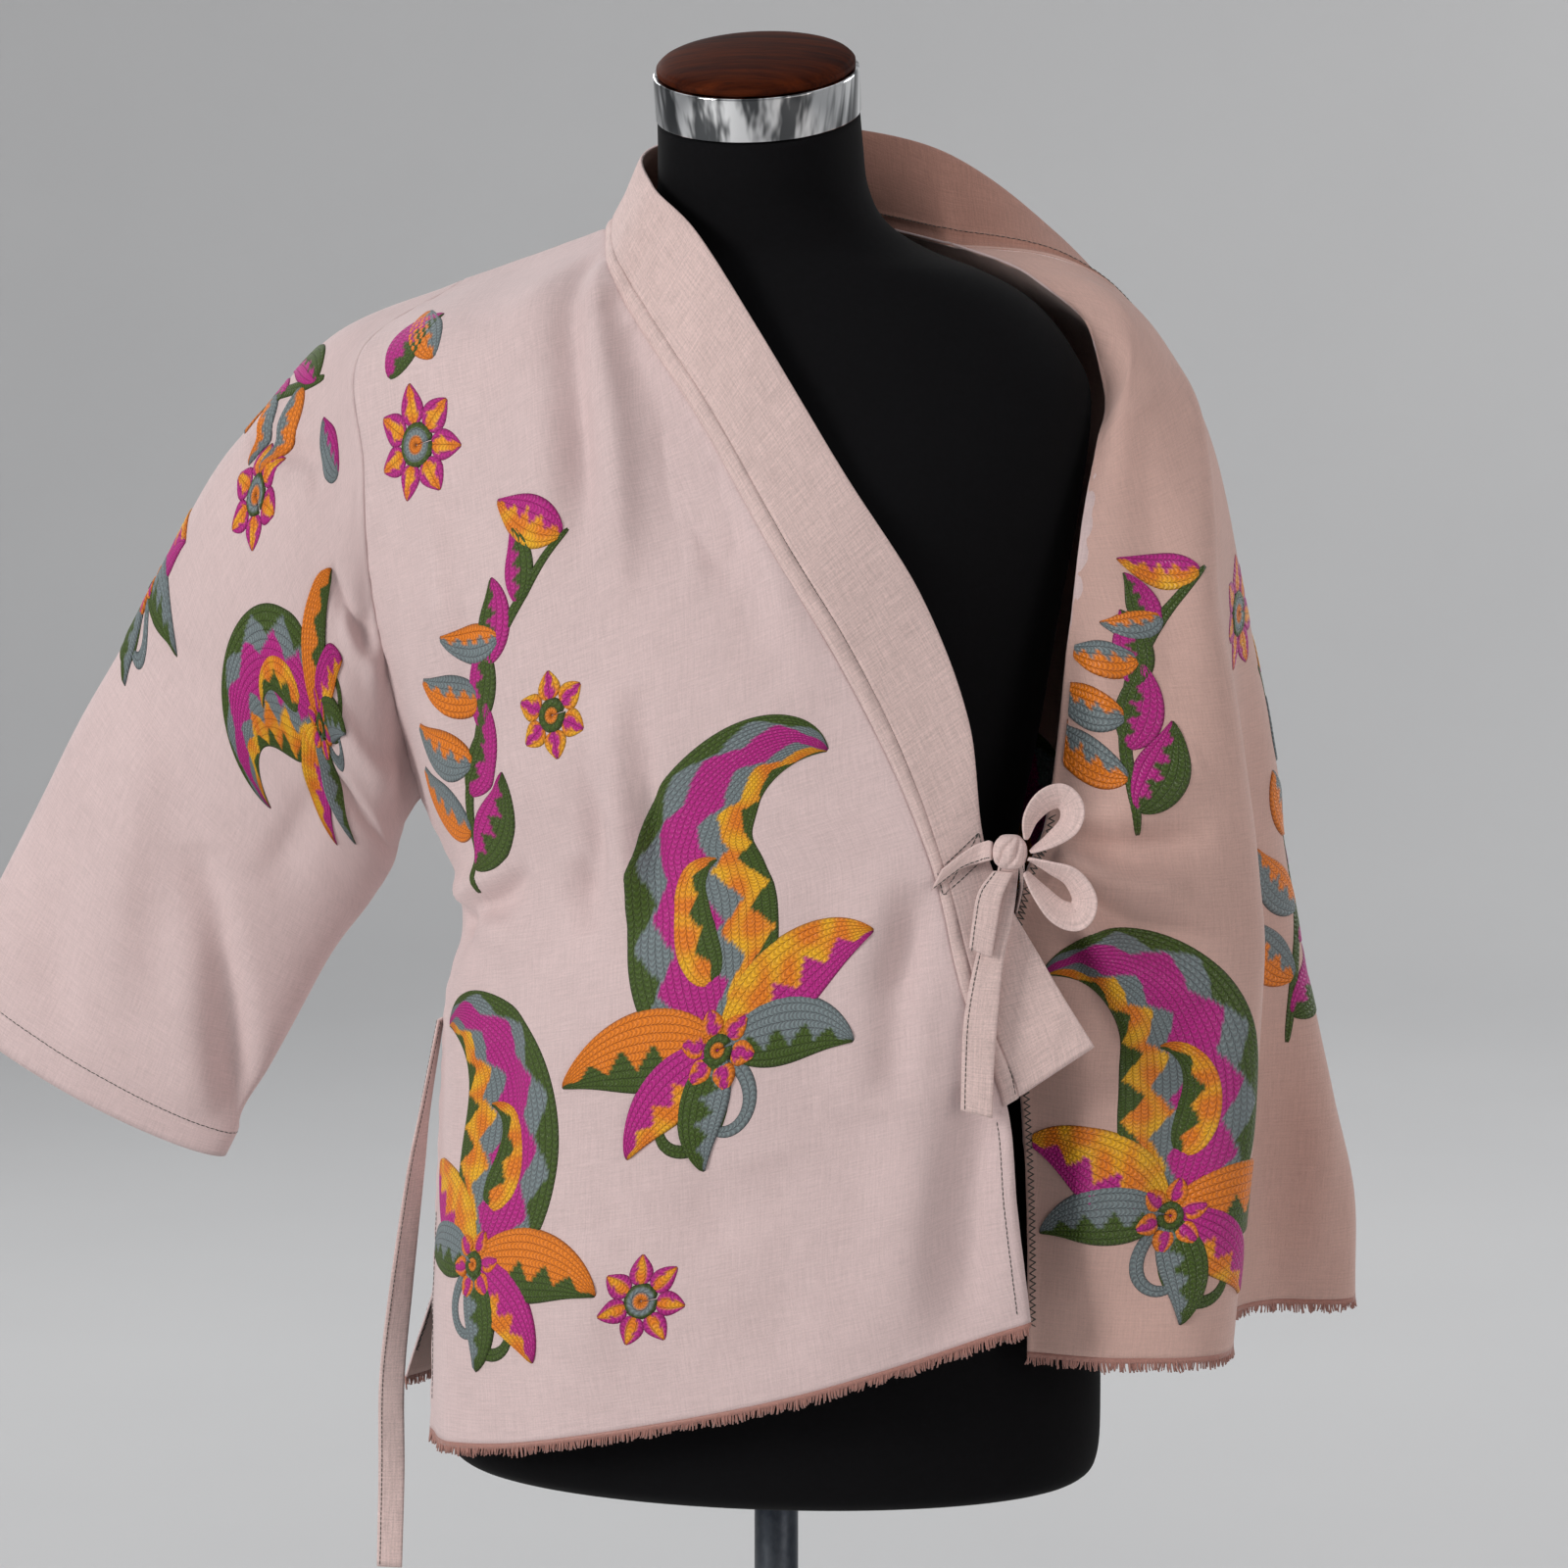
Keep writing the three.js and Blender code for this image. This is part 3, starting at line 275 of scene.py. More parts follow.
def facing(points, closed, side):
    """Unit normals: the step across crossed with the step down, times side."""
    if closed:
        across = np.roll(points, -1, axis=1) - np.roll(points, 1, axis=1)
    else:
        across = np.gradient(points, axis=1)
    normal = np.cross(across, np.gradient(points, axis=0))
    return side * normal / np.maximum(np.linalg.norm(normal, axis=2, keepdims=True), TINY)


FOLD_SLOPES = (0.8, 1.25)  # breadth of a fold's steep and slack side, as a share of its width


class Cloth:
    """A panel's middle surface with its own cloth coordinates in metres.

    u runs across from the anchor column and v down the anchor column from the first row."""

    def __init__(self, points, side, anchor=0.5, closed=False):
        self.points = points
        self.side = side
        self.closed = closed
        self.anchor = int(round(anchor * (points.shape[1] - 1)))
        self.measure()

    def measure(self):
        """Works out u and v afresh, and the normals."""
        whole = np.concatenate([self.points, self.points[:, :1]], axis=1) if self.closed else self.points
        across = lengths(whole, 1)
        self.u = across - across[:, self.anchor:self.anchor + 1]
        self.v = lengths(self.points, 0)[:, self.anchor]
        self.normals = facing(self.points, self.closed, self.side)

    def place(self, rows, columns):
        """(u, v) at fractional grid rows and columns."""
        r = np.clip(rows, 0, len(self.v) - 1.001)
        c = np.clip(columns, 0, self.u.shape[1] - 1.001)
        i, j = r.astype(int), c.astype(int)
        f, g = r - i, c - j
        u = ((1 - f) * ((1 - g) * self.u[i, j] + g * self.u[i, j + 1])
             + f * ((1 - g) * self.u[i + 1, j] + g * self.u[i + 1, j + 1]))
        return u, (1 - f) * self.v[i] + f * self.v[i + 1]

    def on(self, u, v):
        """(point, normal) at the cloth coordinates u, v."""
        r = np.interp(v, self.v, np.arange(len(self.v)))
        i = np.clip(r.astype(int), 0, len(self.v) - 2)
        f = (r - i)[:, None]
        line = (1 - f) * self.u[i] + f * self.u[i + 1]
        j = np.clip((line < u[:, None]).sum(axis=1) - 1, 0, line.shape[1] - 2)
        k = np.arange(len(u))
        g = ((u - line[k, j]) / np.maximum(line[k, j + 1] - line[k, j], 1e-9))[:, None]
        g = np.clip(g, 0, 1)
        n = self.points.shape[1]
        a, b = j % n, (j + 1) % n
        found = []
        for grid in (self.points, self.normals):
            found.append((1 - f) * ((1 - g) * grid[i, a] + g * grid[i, b])
                         + f * ((1 - g) * grid[i + 1, a] + g * grid[i + 1, b]))
        point, normal = found
        return point, normal / np.linalg.norm(normal, axis=1, keepdims=True)

    def fold(self, folds, column_steps, row_steps=ROW_STEPS):
        """Adds soft ridges (depth over 0) and troughs to the surface along its normals.

        Each fold runs from (row, column) to (row, column) of the table with a bow sideways.
        Height = depth · relief · sin(πs)^0.7 · (1 + 0.2 · sin(9s + 11 · depth)) · exp(-(distance / width)²),
        steeper on one side."""
        u = self.u[:, :self.points.shape[1]].ravel()
        v = np.repeat(self.v, self.points.shape[1])
        height = np.zeros(len(u))
        relief = sizes().fold_relief
        s = np.linspace(0, 1, 33)
        for r0, c0, r1, c1, bow, depth, width in folds:
            pu, pv = self.place(row_steps * (r0 + (r1 - r0) * s), column_steps * (c0 + (c1 - c0) * s))
            rise_u, rise_v = pu[-1] - pu[0], pv[-1] - pv[0]
            span = np.hypot(rise_u, rise_v)
            normal = np.array([-rise_v, rise_u]) / span
            sideways = bow * span * np.sin(math.pi * s)
            pu, pv = pu + sideways * normal[0], pv + sideways * normal[1]
            du, dv = np.diff(pu), np.diff(pv)
            square = du**2 + dv**2
            reach = span + 4 * width * MM
            near = (np.abs(u - pu.mean()) < reach) & (np.abs(v - pv.mean()) < reach)
            a, b = u[near, None] - pu[:-1], v[near, None] - pv[:-1]
            part = np.clip((a * du + b * dv) / square, 0, 1)
            away = np.hypot(a - part * du, b - part * dv)
            best = away.argmin(axis=1)
            k = np.arange(len(best))
            at = (best + part[k, best]) / (len(s) - 1)
            turn = a[k, best] * dv[best] - b[k, best] * du[best]
            breadth = MM * width * np.where(turn > 0, *FOLD_SLOPES)
            rise = np.sin(math.pi * np.clip(at, 0, 1)) ** 0.7 * (1 + 0.2 * np.sin(9 * at + 11 * depth))
            height[near] += MM * depth * relief * rise * np.exp(-(away[k, best] / breadth) ** 2)
        self.points = self.points + height.reshape(self.points.shape[:2])[..., None] * self.normals
        self.measure()


WAVER_PERIODS = (0.19, 0.13, 0.083, 0.057, 0.038)  # metres


def waver(cloth, size, seed):
    """Slow unevenness of hand-pressed cloth: a sum of five sines of u and v with seeded directions."""
    rng = np.random.default_rng(seed)
    u = cloth.u[:, :cloth.points.shape[1]]
    v = cloth.v[:, None]
    total = np.zeros(u.shape)
    for period in WAVER_PERIODS:
        angle = rng.uniform(0, math.pi)
        phase = rng.uniform(0, 2 * math.pi)
        across = u * math.cos(angle) + v * math.sin(angle)
        total += (period / WAVER_PERIODS[0]) * np.sin(2 * math.pi * across / period + phase)
    cloth.points = cloth.points + (size * total / 2.4)[..., None] * cloth.normals
    cloth.measure()


def form_reach(z, side):
    """Half axes of the dress form's level section at height z, and its centre: splines of the FORM rows.

    Side is below 0 in front of the centre."""
    rows = along(FORM, steps_of(FORM, 8))
    height = np.clip(z / MM, FORM[0, 0], FORM[-1, 0])
    half, front, rear, centre = (np.interp(height, rows[:, 0], rows[:, k]) for k in range(1, 5))
    deep = np.where(side < 0, centre - front, rear - centre)
    return MM * half, MM * deep, MM * centre


def puff(cloth, edges):
    """Cloth stands a little proud beside a seam: height = 0.9 mm · (1 - exp(-(d/2.2)²)) · exp(-(d/13)²).

    The height swells and sinks along the seam as slight puckers.
    Edges: t top, l first column, s last column."""
    u = cloth.u[:, :cloth.points.shape[1]]
    v = np.broadcast_to(cloth.v[:, None], u.shape)
    away = {"t": v, "l": u - u[:, :1], "s": u[:, -1:] - u}
    runs = {"t": u, "l": v, "s": v}
    for edge in edges:
        d = np.abs(away[edge]) / MM
        s = runs[edge] / MM
        pucker = 1 + 0.45 * np.sin(s / 3.1 + 1.7 * np.sin(s / 19)) * np.exp(-(d / 8) ** 2)
        height = 0.9 * (1 - np.exp(-(d / 2.2) ** 2)) * np.exp(-(d / 13) ** 2) * pucker
        cloth.points = cloth.points + MM * height[..., None] * cloth.normals
    cloth.measure()


def off_the_form(points, gap):
    """Pushes points level outward until they stand at least gap outside the form's ellipse there."""
    x, y, z = points[..., 0], points[..., 1], points[..., 2]
    half, deep, centre = form_reach(z, y - MM * FORM_MIDDLE)
    angle = np.arctan2((y - centre) / deep, x / half)
    half, deep, centre = form_reach(z, np.sin(angle))
    share = np.hypot(x / half, (y - centre) / deep)
    least = 1 + gap / np.minimum(half, deep)
    near = (share < least) & (share > 0.5) & (z < MM * FORM_SHOULDER)
    push = np.where(near, least / np.maximum(share, 0.5), 1)
    moved = points.copy()
    moved[..., 0] = x * push
    moved[..., 1] = centre + (y - centre) * push
    return moved


def weld(points, edge, target, reach, axis=1):
    """Moves one edge of a grid onto target, and lets the move fade out over reach grid steps."""
    count = points.shape[axis]
    line = np.take(points, edge % count, axis=axis)
    step = np.arange(count) if edge >= 0 else np.arange(count)[::-1]
    fade = np.where(step < reach, np.cos(math.pi * np.clip(step / reach, 0, 1)) * 0.5 + 0.5, 0)
    by = np.where(np.isnan(target), 0, target - line)
    if axis == 1:
        return points + by[:, None, :] * fade[None, :, None]
    return points + by[None, :, :] * fade[:, None, None]


# ---------------------------------------------------------------- meshes
def put(name, verts, faces, finishes, slot, uv=None, parts=None, colours=None):
    """A mesh object from whole arrays: verts (n, 3), faces (m, 4) or (m, 3), uv for each corner."""
    mesh = bpy.data.meshes.new(name)
    sides = faces.shape[1]
    mesh.vertices.add(len(verts))
    mesh.vertices.foreach_set("co", np.ascontiguousarray(verts, np.float32).ravel())
    mesh.loops.add(faces.size)
    mesh.loops.foreach_set("vertex_index", np.ascontiguousarray(faces, np.int32).ravel())
    mesh.polygons.add(len(faces))
    mesh.polygons.foreach_set("loop_start", np.arange(0, faces.size, sides, dtype=np.int32))
    mesh.polygons.foreach_set("loop_total", np.full(len(faces), sides, np.int32))
    if parts is not None:
        mesh.polygons.foreach_set("material_index", np.ascontiguousarray(parts, np.int32))
    mesh.polygons.foreach_set("use_smooth", np.full(len(faces), True))
    if uv is not None:
        layer = mesh.uv_layers.new(name="cloth")
        layer.data.foreach_set("uv", np.ascontiguousarray(uv, np.float32).ravel())
    if colours is not None:
        layer = mesh.color_attributes.new("thread", "FLOAT_COLOR", "POINT")
        rgba = np.concatenate([colours, np.ones((len(colours), 1))], axis=1)
        layer.data.foreach_set("color", np.ascontiguousarray(rgba, np.float32).ravel())
    for finish in finishes:
        mesh.materials.append(finish)
    mesh.update(calc_edges=True)
    mesh.validate()
    piece = bpy.data.objects.new(name, mesh)
    bpy.context.scene.collection.objects.link(piece)
    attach(piece, "root")
    return piece


def joined(parts):
    """One pair of whole arrays from a list of (verts, faces)."""
    starts = np.cumsum([0] + [len(verts) for verts, _ in parts])
    return (np.concatenate([verts for verts, _ in parts]),
            np.concatenate([faces + start for (_, faces), start in zip(parts, starts)]))


def inside_out(verts, tris):
    """Whether a closed body's triangles face inwards: the sign of its volume."""
    p = verts[tris]
    return np.einsum("ij,ij->i", p[:, 0], np.cross(p[:, 1], p[:, 2])).sum() < 0


def grid_faces(rows, columns, closed, forward=True):
    """Quads of a grid as (rows, columns) of their corners, in the order that faces along the normal."""
    spans = columns if closed else columns - 1
    r, c = (a.ravel() for a in np.meshgrid(np.arange(rows - 1), np.arange(spans), indexing="ij"))
    corner_rows = np.stack([r, r, r + 1, r + 1], 1)
    corner_columns = np.stack([c, c + 1, c + 1, c], 1)
    if not forward:
        corner_rows, corner_columns = corner_rows[:, ::-1], corner_columns[:, ::-1]
    return corner_rows, corner_columns


def shell(name, cloth, wall, finishes, slot):
    """A thin wall about a cloth: outer and inner faces at plus and minus half the wall, joined at the rims.

    Slot 0 is the right side and the rims, slot 1 the wrong side."""
    points, normals = cloth.points, cloth.normals
    rows, columns = points.shape[:2]
    half = (0.5 * np.broadcast_to(wall, points.shape[:2]))[..., None]
    verts = np.concatenate([(points + face * half * normals).reshape(-1, 3) for face in (1, -1)])
    faces, uv, parts = [], [], []
    v = np.broadcast_to(cloth.v[:, None], cloth.u.shape)

    def add(r, c, layer, part, ahead):
        way = 1 if ahead else -1
        r, c, layer = (np.broadcast_to(x, c.shape)[:, ::way] for x in (r, c, layer))
        faces.append(layer * rows * columns + r * columns + c % columns)
        uv.append(np.stack([cloth.u[r, c], v[r, c]], 2))
        parts.append(np.full(len(r), part))

    forward = cloth.side > 0
    quads = grid_faces(rows, columns, cloth.closed)
    add(*quads, 0, 0, forward)
    add(*quads, 1, 1, not forward)
    rim = np.array([[0, 0, 1, 1]])
    c = np.arange(columns if cloth.closed else columns - 1)[:, None] + [[0, 1, 1, 0]]
    add(0, c, rim, 0, not forward)
    add(rows - 1, c, rim, 0, forward)
    if not cloth.closed:
        r = np.arange(rows - 1)[:, None] + [[0, 1, 1, 0]]
        add(r, np.full(r.shape, 0), rim, 0, forward)
        add(r, np.full(r.shape, columns - 1), rim, 0, not forward)
    return put(name, verts, np.concatenate(faces), finishes, slot, np.concatenate(uv), np.concatenate(parts))


def oval(angle, power):
    """A cosine or sine drawn towards its ends: sign(x) · |x|^power."""
    return np.sign(angle) * np.abs(angle) ** power


def ribbon(name, near, far, finish, slot):
    """A folded strip between two edge lines: its section is a flat oval as thick as the tie wall.

    Section angle a: across = cos a drawn by 0.6 between the edges, out = wall/2 · sin a drawn by 0.7."""
    middle, half = (near + far) / 2, (far - near) / 2
    out = np.cross(half, np.gradient(middle, axis=0))
    out /= np.linalg.norm(out, axis=1, keepdims=True)
    sides = 16
    a = 2 * math.pi * np.arange(sides) / sides
    across = oval(np.cos(a), 0.6)
    rise = 0.5 * sizes().tie_wall * oval(np.sin(a), 0.7)
    ring = middle[:, None] + across[None, :, None] * half[:, None] + rise[None, :, None] * out[:, None]
    v = lengths(middle[:, None], 0)[:, 0]
    u = np.append(across, across[0]) * np.linalg.norm(half, axis=1).mean()
    return tube(name, ring, u, v, finish, slot)


def tube(name, ring, u, v, finish, slot):
    """A closed body through rings of points (rows, sides, 3), with both ends closed by a fan."""
    rows, sides = ring.shape[:2]
    verts = np.concatenate([ring.reshape(-1, 3), ring[:1].mean(axis=1), ring[-1:].mean(axis=1)])
    r, c = grid_faces(rows, sides, True)
    quads, uv = r * sides + c % sides, np.stack([u[c], v[r]], 2)
    k = np.arange(sides)
    after = (k + 1) % sides
    first = np.stack([after, k, np.full(sides, rows * sides)], 1)
    last = np.stack([k + (rows - 1) * sides, after + (rows - 1) * sides, np.full(sides, rows * sides + 1)], 1)
    tris = np.concatenate([quads[:, :3], first, last, quads[:, [0, 2, 3]]])
    uv = np.concatenate([uv[:, :3], np.zeros((2 * sides, 3, 2)), uv[:, [0, 2, 3]]])
    if inside_out(verts, tris):
        tris, uv = tris[:, ::-1], uv[:, ::-1]
    return put(name, verts, tris, [finish], slot, uv)


def tie(table):
    """The two edge lines of a tie, smooth through its rows."""
    t = steps_of(table, TIE_STEPS)
    return along(table[:, 0], t), along(table[:, 1], t)


def copies(template, faces, at, ahead, out, size):
    """Copies of a small closed shape: template (n, 3) along (ahead, sideways, out), scaled by size (m, 3)."""
    sideways = np.cross(out, ahead)
    sideways /= np.maximum(np.linalg.norm(sideways, axis=1, keepdims=True), TINY)
    scaled = template[None] * size[:, None]
    verts = (at[:, None] + scaled[..., :1] * ahead[:, None] + scaled[..., 1:2] * sideways[:, None]
             + scaled[..., 2:] * out[:, None])
    shift = (np.arange(len(at)) * len(template))[:, None, None]
    return verts.reshape(-1, 3), (faces[None] + shift).reshape(-1, faces.shape[1])


def bead():
    """A thread stitch of unit size: square rings at -1, 0 and 1 along it, with narrower closed ends."""
    a = 0.5 * math.pi * np.arange(4)
    radius = np.array([[0.45], [1.0], [0.45]])
    ring = np.stack([np.repeat([[-1.0], [0.0], [1.0]], 4, 1), radius * np.cos(a), radius * np.sin(a)], 2)
    ring = ring.reshape(-1, 3)
    r, c = grid_faces(3, 4, True, False)
    quads = r * 4 + c % 4
    ends = np.array([[0, 1, 2], [0, 2, 3], [8, 10, 9], [8, 11, 10]])
    faces = np.concatenate([quads[:, :3], quads[:, [0, 2, 3]], ends])
    return ring, faces[:, ::-1] if inside_out(ring, faces) else faces


def spread(points, pitch):
    """Points spaced evenly by pitch along a polyline, with the direction at each."""
    run = lengths(points[:, None], 0)[:, 0]
    s = np.arange(0.5 * pitch, run[-1], pitch)
    even, after, before = (np.stack([np.interp(s + shift * pitch, run, line) for line in points.T], 1)
                           for shift in (0, 0.3, -0.3))
    ahead = after - before
    return even, ahead / np.maximum(np.linalg.norm(ahead, axis=1, keepdims=True), TINY)


def sew(lines, thick):
    """Stitches on cloths as small beads between even points of a line, all in one mesh.

    Each line is (cloth, u's, v's, face, wall, pitch, share of the pitch that shows, zigzag).
    A zigzag moves the points sideways by plus and minus its size in turn.
    Face 1 is the right side and -1 the wrong side."""
    shape, faces = bead()
    parts = []
    for cloth, u, v, face, wall, pitch, shown, zigzag in lines:
        flat, ahead = spread(np.stack([u, v], 1), pitch)
        turn = np.where(np.arange(len(flat)) % 2, zigzag, -zigzag)[:, None]
        flat = flat + turn * np.stack([-ahead[:, 1], ahead[:, 0]], 1)
        at, out = cloth.on(flat[:, 0], flat[:, 1])
        at = at + face * (0.5 * wall + 0.2 * thick) * out
        span = at[1:] - at[:-1]
        long = np.linalg.norm(span, axis=1, keepdims=True)
        size = np.concatenate([long * shown / 2, np.full((len(span), 2), thick / 2)], axis=1)
        parts.append(copies(shape, faces, (at[1:] + at[:-1]) / 2, span / np.maximum(long, 1e-9),
                            face * out[1:], size))
    return joined(parts)


def lathe(name, profile, finish, slot, sides=96, place=None, bored=False):
    """A turned body: radius r at height z along the profile, closed on the axis, or bored as a ring."""
    r, z = np.array(profile, float).T * MM
    a = 2 * math.pi * np.arange(sides) / sides
    ring = np.stack([r[:, None] * np.cos(a), r[:, None] * np.sin(a), np.repeat(z[:, None], sides, 1)], 2)
    if place is not None:
        ring = ring @ place[0].T + place[1]
    u = np.arange(sides + 1) / sides * 2 * math.pi * r.max()
    v = np.append(0, np.cumsum(np.hypot(np.diff(r), np.diff(z))))
    if not bored:
        return tube(name, ring, u, v, finish, slot)
    rows, columns = grid_faces(len(r) + 1, sides, True)
    uv = np.stack([u[columns], np.append(v, v[-1])[rows]], 2)
    return put(name, ring.reshape(-1, 3), (rows % len(r)) * sides + columns % sides, [finish], slot, uv)


def rounded(corners, radius):
    """A profile whose inner corners are rounded by the radius: (1 - t)² start + 2t(1 - t) corner + t² end."""
    p = np.array(corners, float)
    curve = [p[:1]]
    t = np.linspace(0, 1, 5)[:, None]
    for a, b, c in zip(p[:-2], p[1:-1], p[2:]):
        start, end = (b + (x - b) / np.linalg.norm(x - b) * min(radius, 0.45 * np.linalg.norm(x - b))
                      for x in (a, c))
        curve.append((1 - t) ** 2 * start + 2 * t * (1 - t) * b + t**2 * end)
    return np.concatenate([*curve, p[-1:]])


# ---------------------------------------------------------------- finishes
MIX_COLOURS, MIX_RESULT = (6, 7), 2  # a mix node's sockets for colours
OBJECT_OUTPUT = 3  # the object place of a texture coordinate node
WEAVE_PITCH = 0.8  # millimetres over two yarns of the cloth


class Value:
    """A shader number: an expression on it adds Math nodes."""

    def __init__(self, finish, socket):
        self.finish = finish
        self.socket = socket

    def math(self, operation, *inputs):
        return self.finish.node("ShaderNodeMath", {"operation": operation}, dict(enumerate(inputs)))

    def __add__(self, other):
        return self.math("ADD", self, other)

    def __sub__(self, other):
        return self.math("SUBTRACT", self, other)

    def __rsub__(self, other):
        return self.math("SUBTRACT", other, self)

    def __mul__(self, other):
        return self.math("MULTIPLY", self, other)

    def __pow__(self, other):
        return self.math("POWER", self, other)

    __radd__ = __add__

    def sin(self):
        return self.math("SINE", self)

    def fract(self):
        return self.math("FRACT", self)

    def abs(self):
        return self.math("ABSOLUTE", self)

    def most(self, other):
        return self.math("MAXIMUM", self, other)

    def over(self, low, high):
        """0 below low and 1 above high, with a smooth step between."""
        return self.finish.node("ShaderNodeMapRange", {"interpolation_type": "SMOOTHSTEP"},
                                {0: self, 1: low, 2: high, 3: 0.0, 4: 1.0})


class Finish:
    """One procedural material: nodes are added by node(), and the shader's sockets are set by shade()."""

    def __init__(self, name):
        self.material = bpy.data.materials.new(name)
        self.material.use_nodes = True
        self.tree = self.material.node_tree
        self.shader = self.tree.nodes["Principled BSDF"]

    def node(self, kind, settings, inputs=None, output=0):
        """Adds a node with its settings and inputs, and gives one of its outputs."""
        made = self.tree.nodes.new(kind)
        for key, value in (settings or {}).items():
            setattr(made, key, value)
        for key, value in (inputs or {}).items():
            self.feed(made.inputs[key], value)
        return Value(self, made.outputs[output])

    def feed(self, socket, value):
        """Links a Value to a socket, or sets the socket to a number or colour."""
        if isinstance(value, Value):
            self.tree.links.new(value.socket, socket)
        elif socket.type == "RGBA" and len(value) == 3:
            socket.default_value = (*value, 1.0)
        else:
            socket.default_value = value

    def shade(self, **sockets):
        for key, value in sockets.items():
            self.feed(self.shader.inputs[key.replace("_", " ")], value)
        return self.material

    def mix(self, factor, first, second, blend="MIX"):
        """Two colours mixed by a factor."""
        return self.node("ShaderNodeMix", {"data_type": "RGBA", "blend_type": blend},
                         {0: factor, MIX_COLOURS[0]: first, MIX_COLOURS[1]: second}, MIX_RESULT)

    def noise(self, vector, scale, detail, roughness=0.5):
        return self.node("ShaderNodeTexNoise", {"noise_dimensions": "3D"},
                         {"Vector": vector, "Scale": scale, "Detail": detail, "Roughness": roughness})

    def vector(self, x, y, z):
        return self.node("ShaderNodeCombineXYZ", None, {0: x, 1: y, 2: z})

    def axes(self, vector):
        split = self.tree.nodes.new("ShaderNodeSeparateXYZ")
        self.feed(split.inputs[0], vector)
        return [Value(self, socket) for socket in split.outputs]

    def cloth_place(self):
        """The cloth coordinates of the piece in millimetres."""
        x, y, _ = self.axes(self.node("ShaderNodeUVMap", {"uv_map": "cloth"}))
        return x * 1000.0, y * 1000.0

    def object_place(self):
        return self.node("ShaderNodeTexCoord", None, None, OBJECT_OUTPUT)

    def bump(self, height, strength, distance):
        return self.node("ShaderNodeBump", None,
                         {"Strength": strength, "Distance": distance, "Height": height})


def heathered_cloth(name, light, dark, fleck=1.2, contrast=0.5):
    """Plain weave of uneven yarns: long thin streaks both ways, small flecks and slow washed mottling.

    Dark and fleck are shares of the light colour."""
    f = Finish(name)
    x, y = f.cloth_place()
    warp = f.noise(f.vector(x * 1.15, y * 0.055, 1.0), 1.0, 3.0, 0.6)
    weft = f.noise(f.vector(x * 0.055, y * 1.15, 7.0), 1.0, 3.0, 0.6)
    grain = f.noise(f.vector(x * 0.9, y * 0.9, 13.0), 1.0, 2.0, 0.6)
    mottle = f.noise(f.vector(x * 0.018, y * 0.014, 21.0), 1.0, 2.0, 0.5)
    yarn = (warp + weft) * 0.36 + grain * 0.28
    tone = (yarn - 0.5) * (2.6 * contrast) + 0.5 + (mottle - 0.5) * 0.22
    colour = f.mix(tone.over(0.05, 0.95), dark * light, light)
    colour = f.mix(grain.over(0.66, 0.8) * 0.35, colour, fleck * light)
    turns = 2 * math.pi / WEAVE_PITCH
    height = (x * turns).sin() * (y * turns).sin() * 0.25 + yarn * 1.4 + grain * 0.5
    return f.shade(Base_Color=colour, Roughness=0.86 + (yarn - 0.5) * 0.2, Sheen_Weight=0.22,
                   Sheen_Roughness=0.45, Specular_IOR_Level=0.25, Normal=f.bump(height, 0.35, 0.0005))


def thread_finish(name, colour):
    """Plied sewing or tie thread of one colour, lighter and darker from place to place."""
    f = Finish(name)
    tone = f.noise(f.object_place(), 900.0, 2.0)
    dark = 0.55 * np.array(colour)
    return f.shade(Base_Color=f.mix(tone, dark, colour), Roughness=0.5 + (tone - 0.5) * 0.2,
                   Sheen_Weight=0.3, Normal=f.bump(tone, 0.4, 0.0004))


def chain_thread(name, gloss, loops, depth, painted_glint):
    """Rows of nested loops: thread arcs that lie across each row like scales, with fine fibres.

    Phase in turns = x / loops + 1.25 · sqrt(1 - y²) + 0.37 · row number + 1.6 · slow noise, with x in
    millimetres along the row and y across it from -1 to 1. The noise bends the arcs so that they swirl."""
    f = Finish(name)
    x, row = f.cloth_place()
    place = f.object_place()
    swirl = f.noise(place, 90.0, 2.0)
    fine = f.noise(place, 1400.0, 2.0)
    y = (row.fract() * 2.0 - 1.0) * 0.96
    arc = (1.0 - y * y).most(0.0) ** 0.5
    shift = (row - row.fract()) * 0.37
    phase = x * (1.0 / loops) + arc * 1.25 + shift + swirl * 1.6
    loop = (phase * (2 * math.pi)).sin() * 0.5 + 0.5
    groove = (1.0 - y.abs().over(0.72, 1.0)) * (fine * 0.3 + 0.85)
    height = loop * 0.55 + groove * 0.5
    colour = f.node("ShaderNodeVertexColor", {"layer_name": "thread"})
    # painted shade: the yarn colour darkened, shown where the loops and rows lie low
    deep = f.mix(1.0, colour, (0.52, 0.46, 0.48), "MULTIPLY")
    # painted glints: the yarn colour paled towards white, shown on fine fibre flecks
    pale = f.mix(0.16, colour, (0.9, 0.85, 0.82))
    # share of the lit colour: low in the hollows, which carry the painted shade
    tone = (height * 0.6 + fine * 0.42).over(0.28, 0.95)
    colour = f.mix(tone, deep, f.mix(fine.over(0.58, 0.72) * painted_glint, colour, pale))
    return f.shade(Base_Color=colour, Roughness=gloss + fine * 0.16, Sheen_Weight=0.04,
                   Specular_IOR_Level=0.4, Normal=f.bump(height + fine * 0.25, depth, 0.0006))


def knit_jersey():
    """Black jersey: fine vertical wales with a soft sheen."""
    f = Finish("form jersey")
    place = f.object_place()
    wale = f.noise(place, 420.0, 2.0)
    slow = f.noise(place, 9.0, 2.0)
    colour = f.mix(wale * 0.6 + slow * 0.4, (0.0018, 0.0018, 0.0022), (0.0055, 0.0055, 0.0065))
    return f.shade(Base_Color=colour, Roughness=0.9 + wale * 0.08, Sheen_Weight=0.03, Sheen_Roughness=0.4,
                   Specular_IOR_Level=0.12, Normal=f.bump(wale, 0.25, 0.0004))


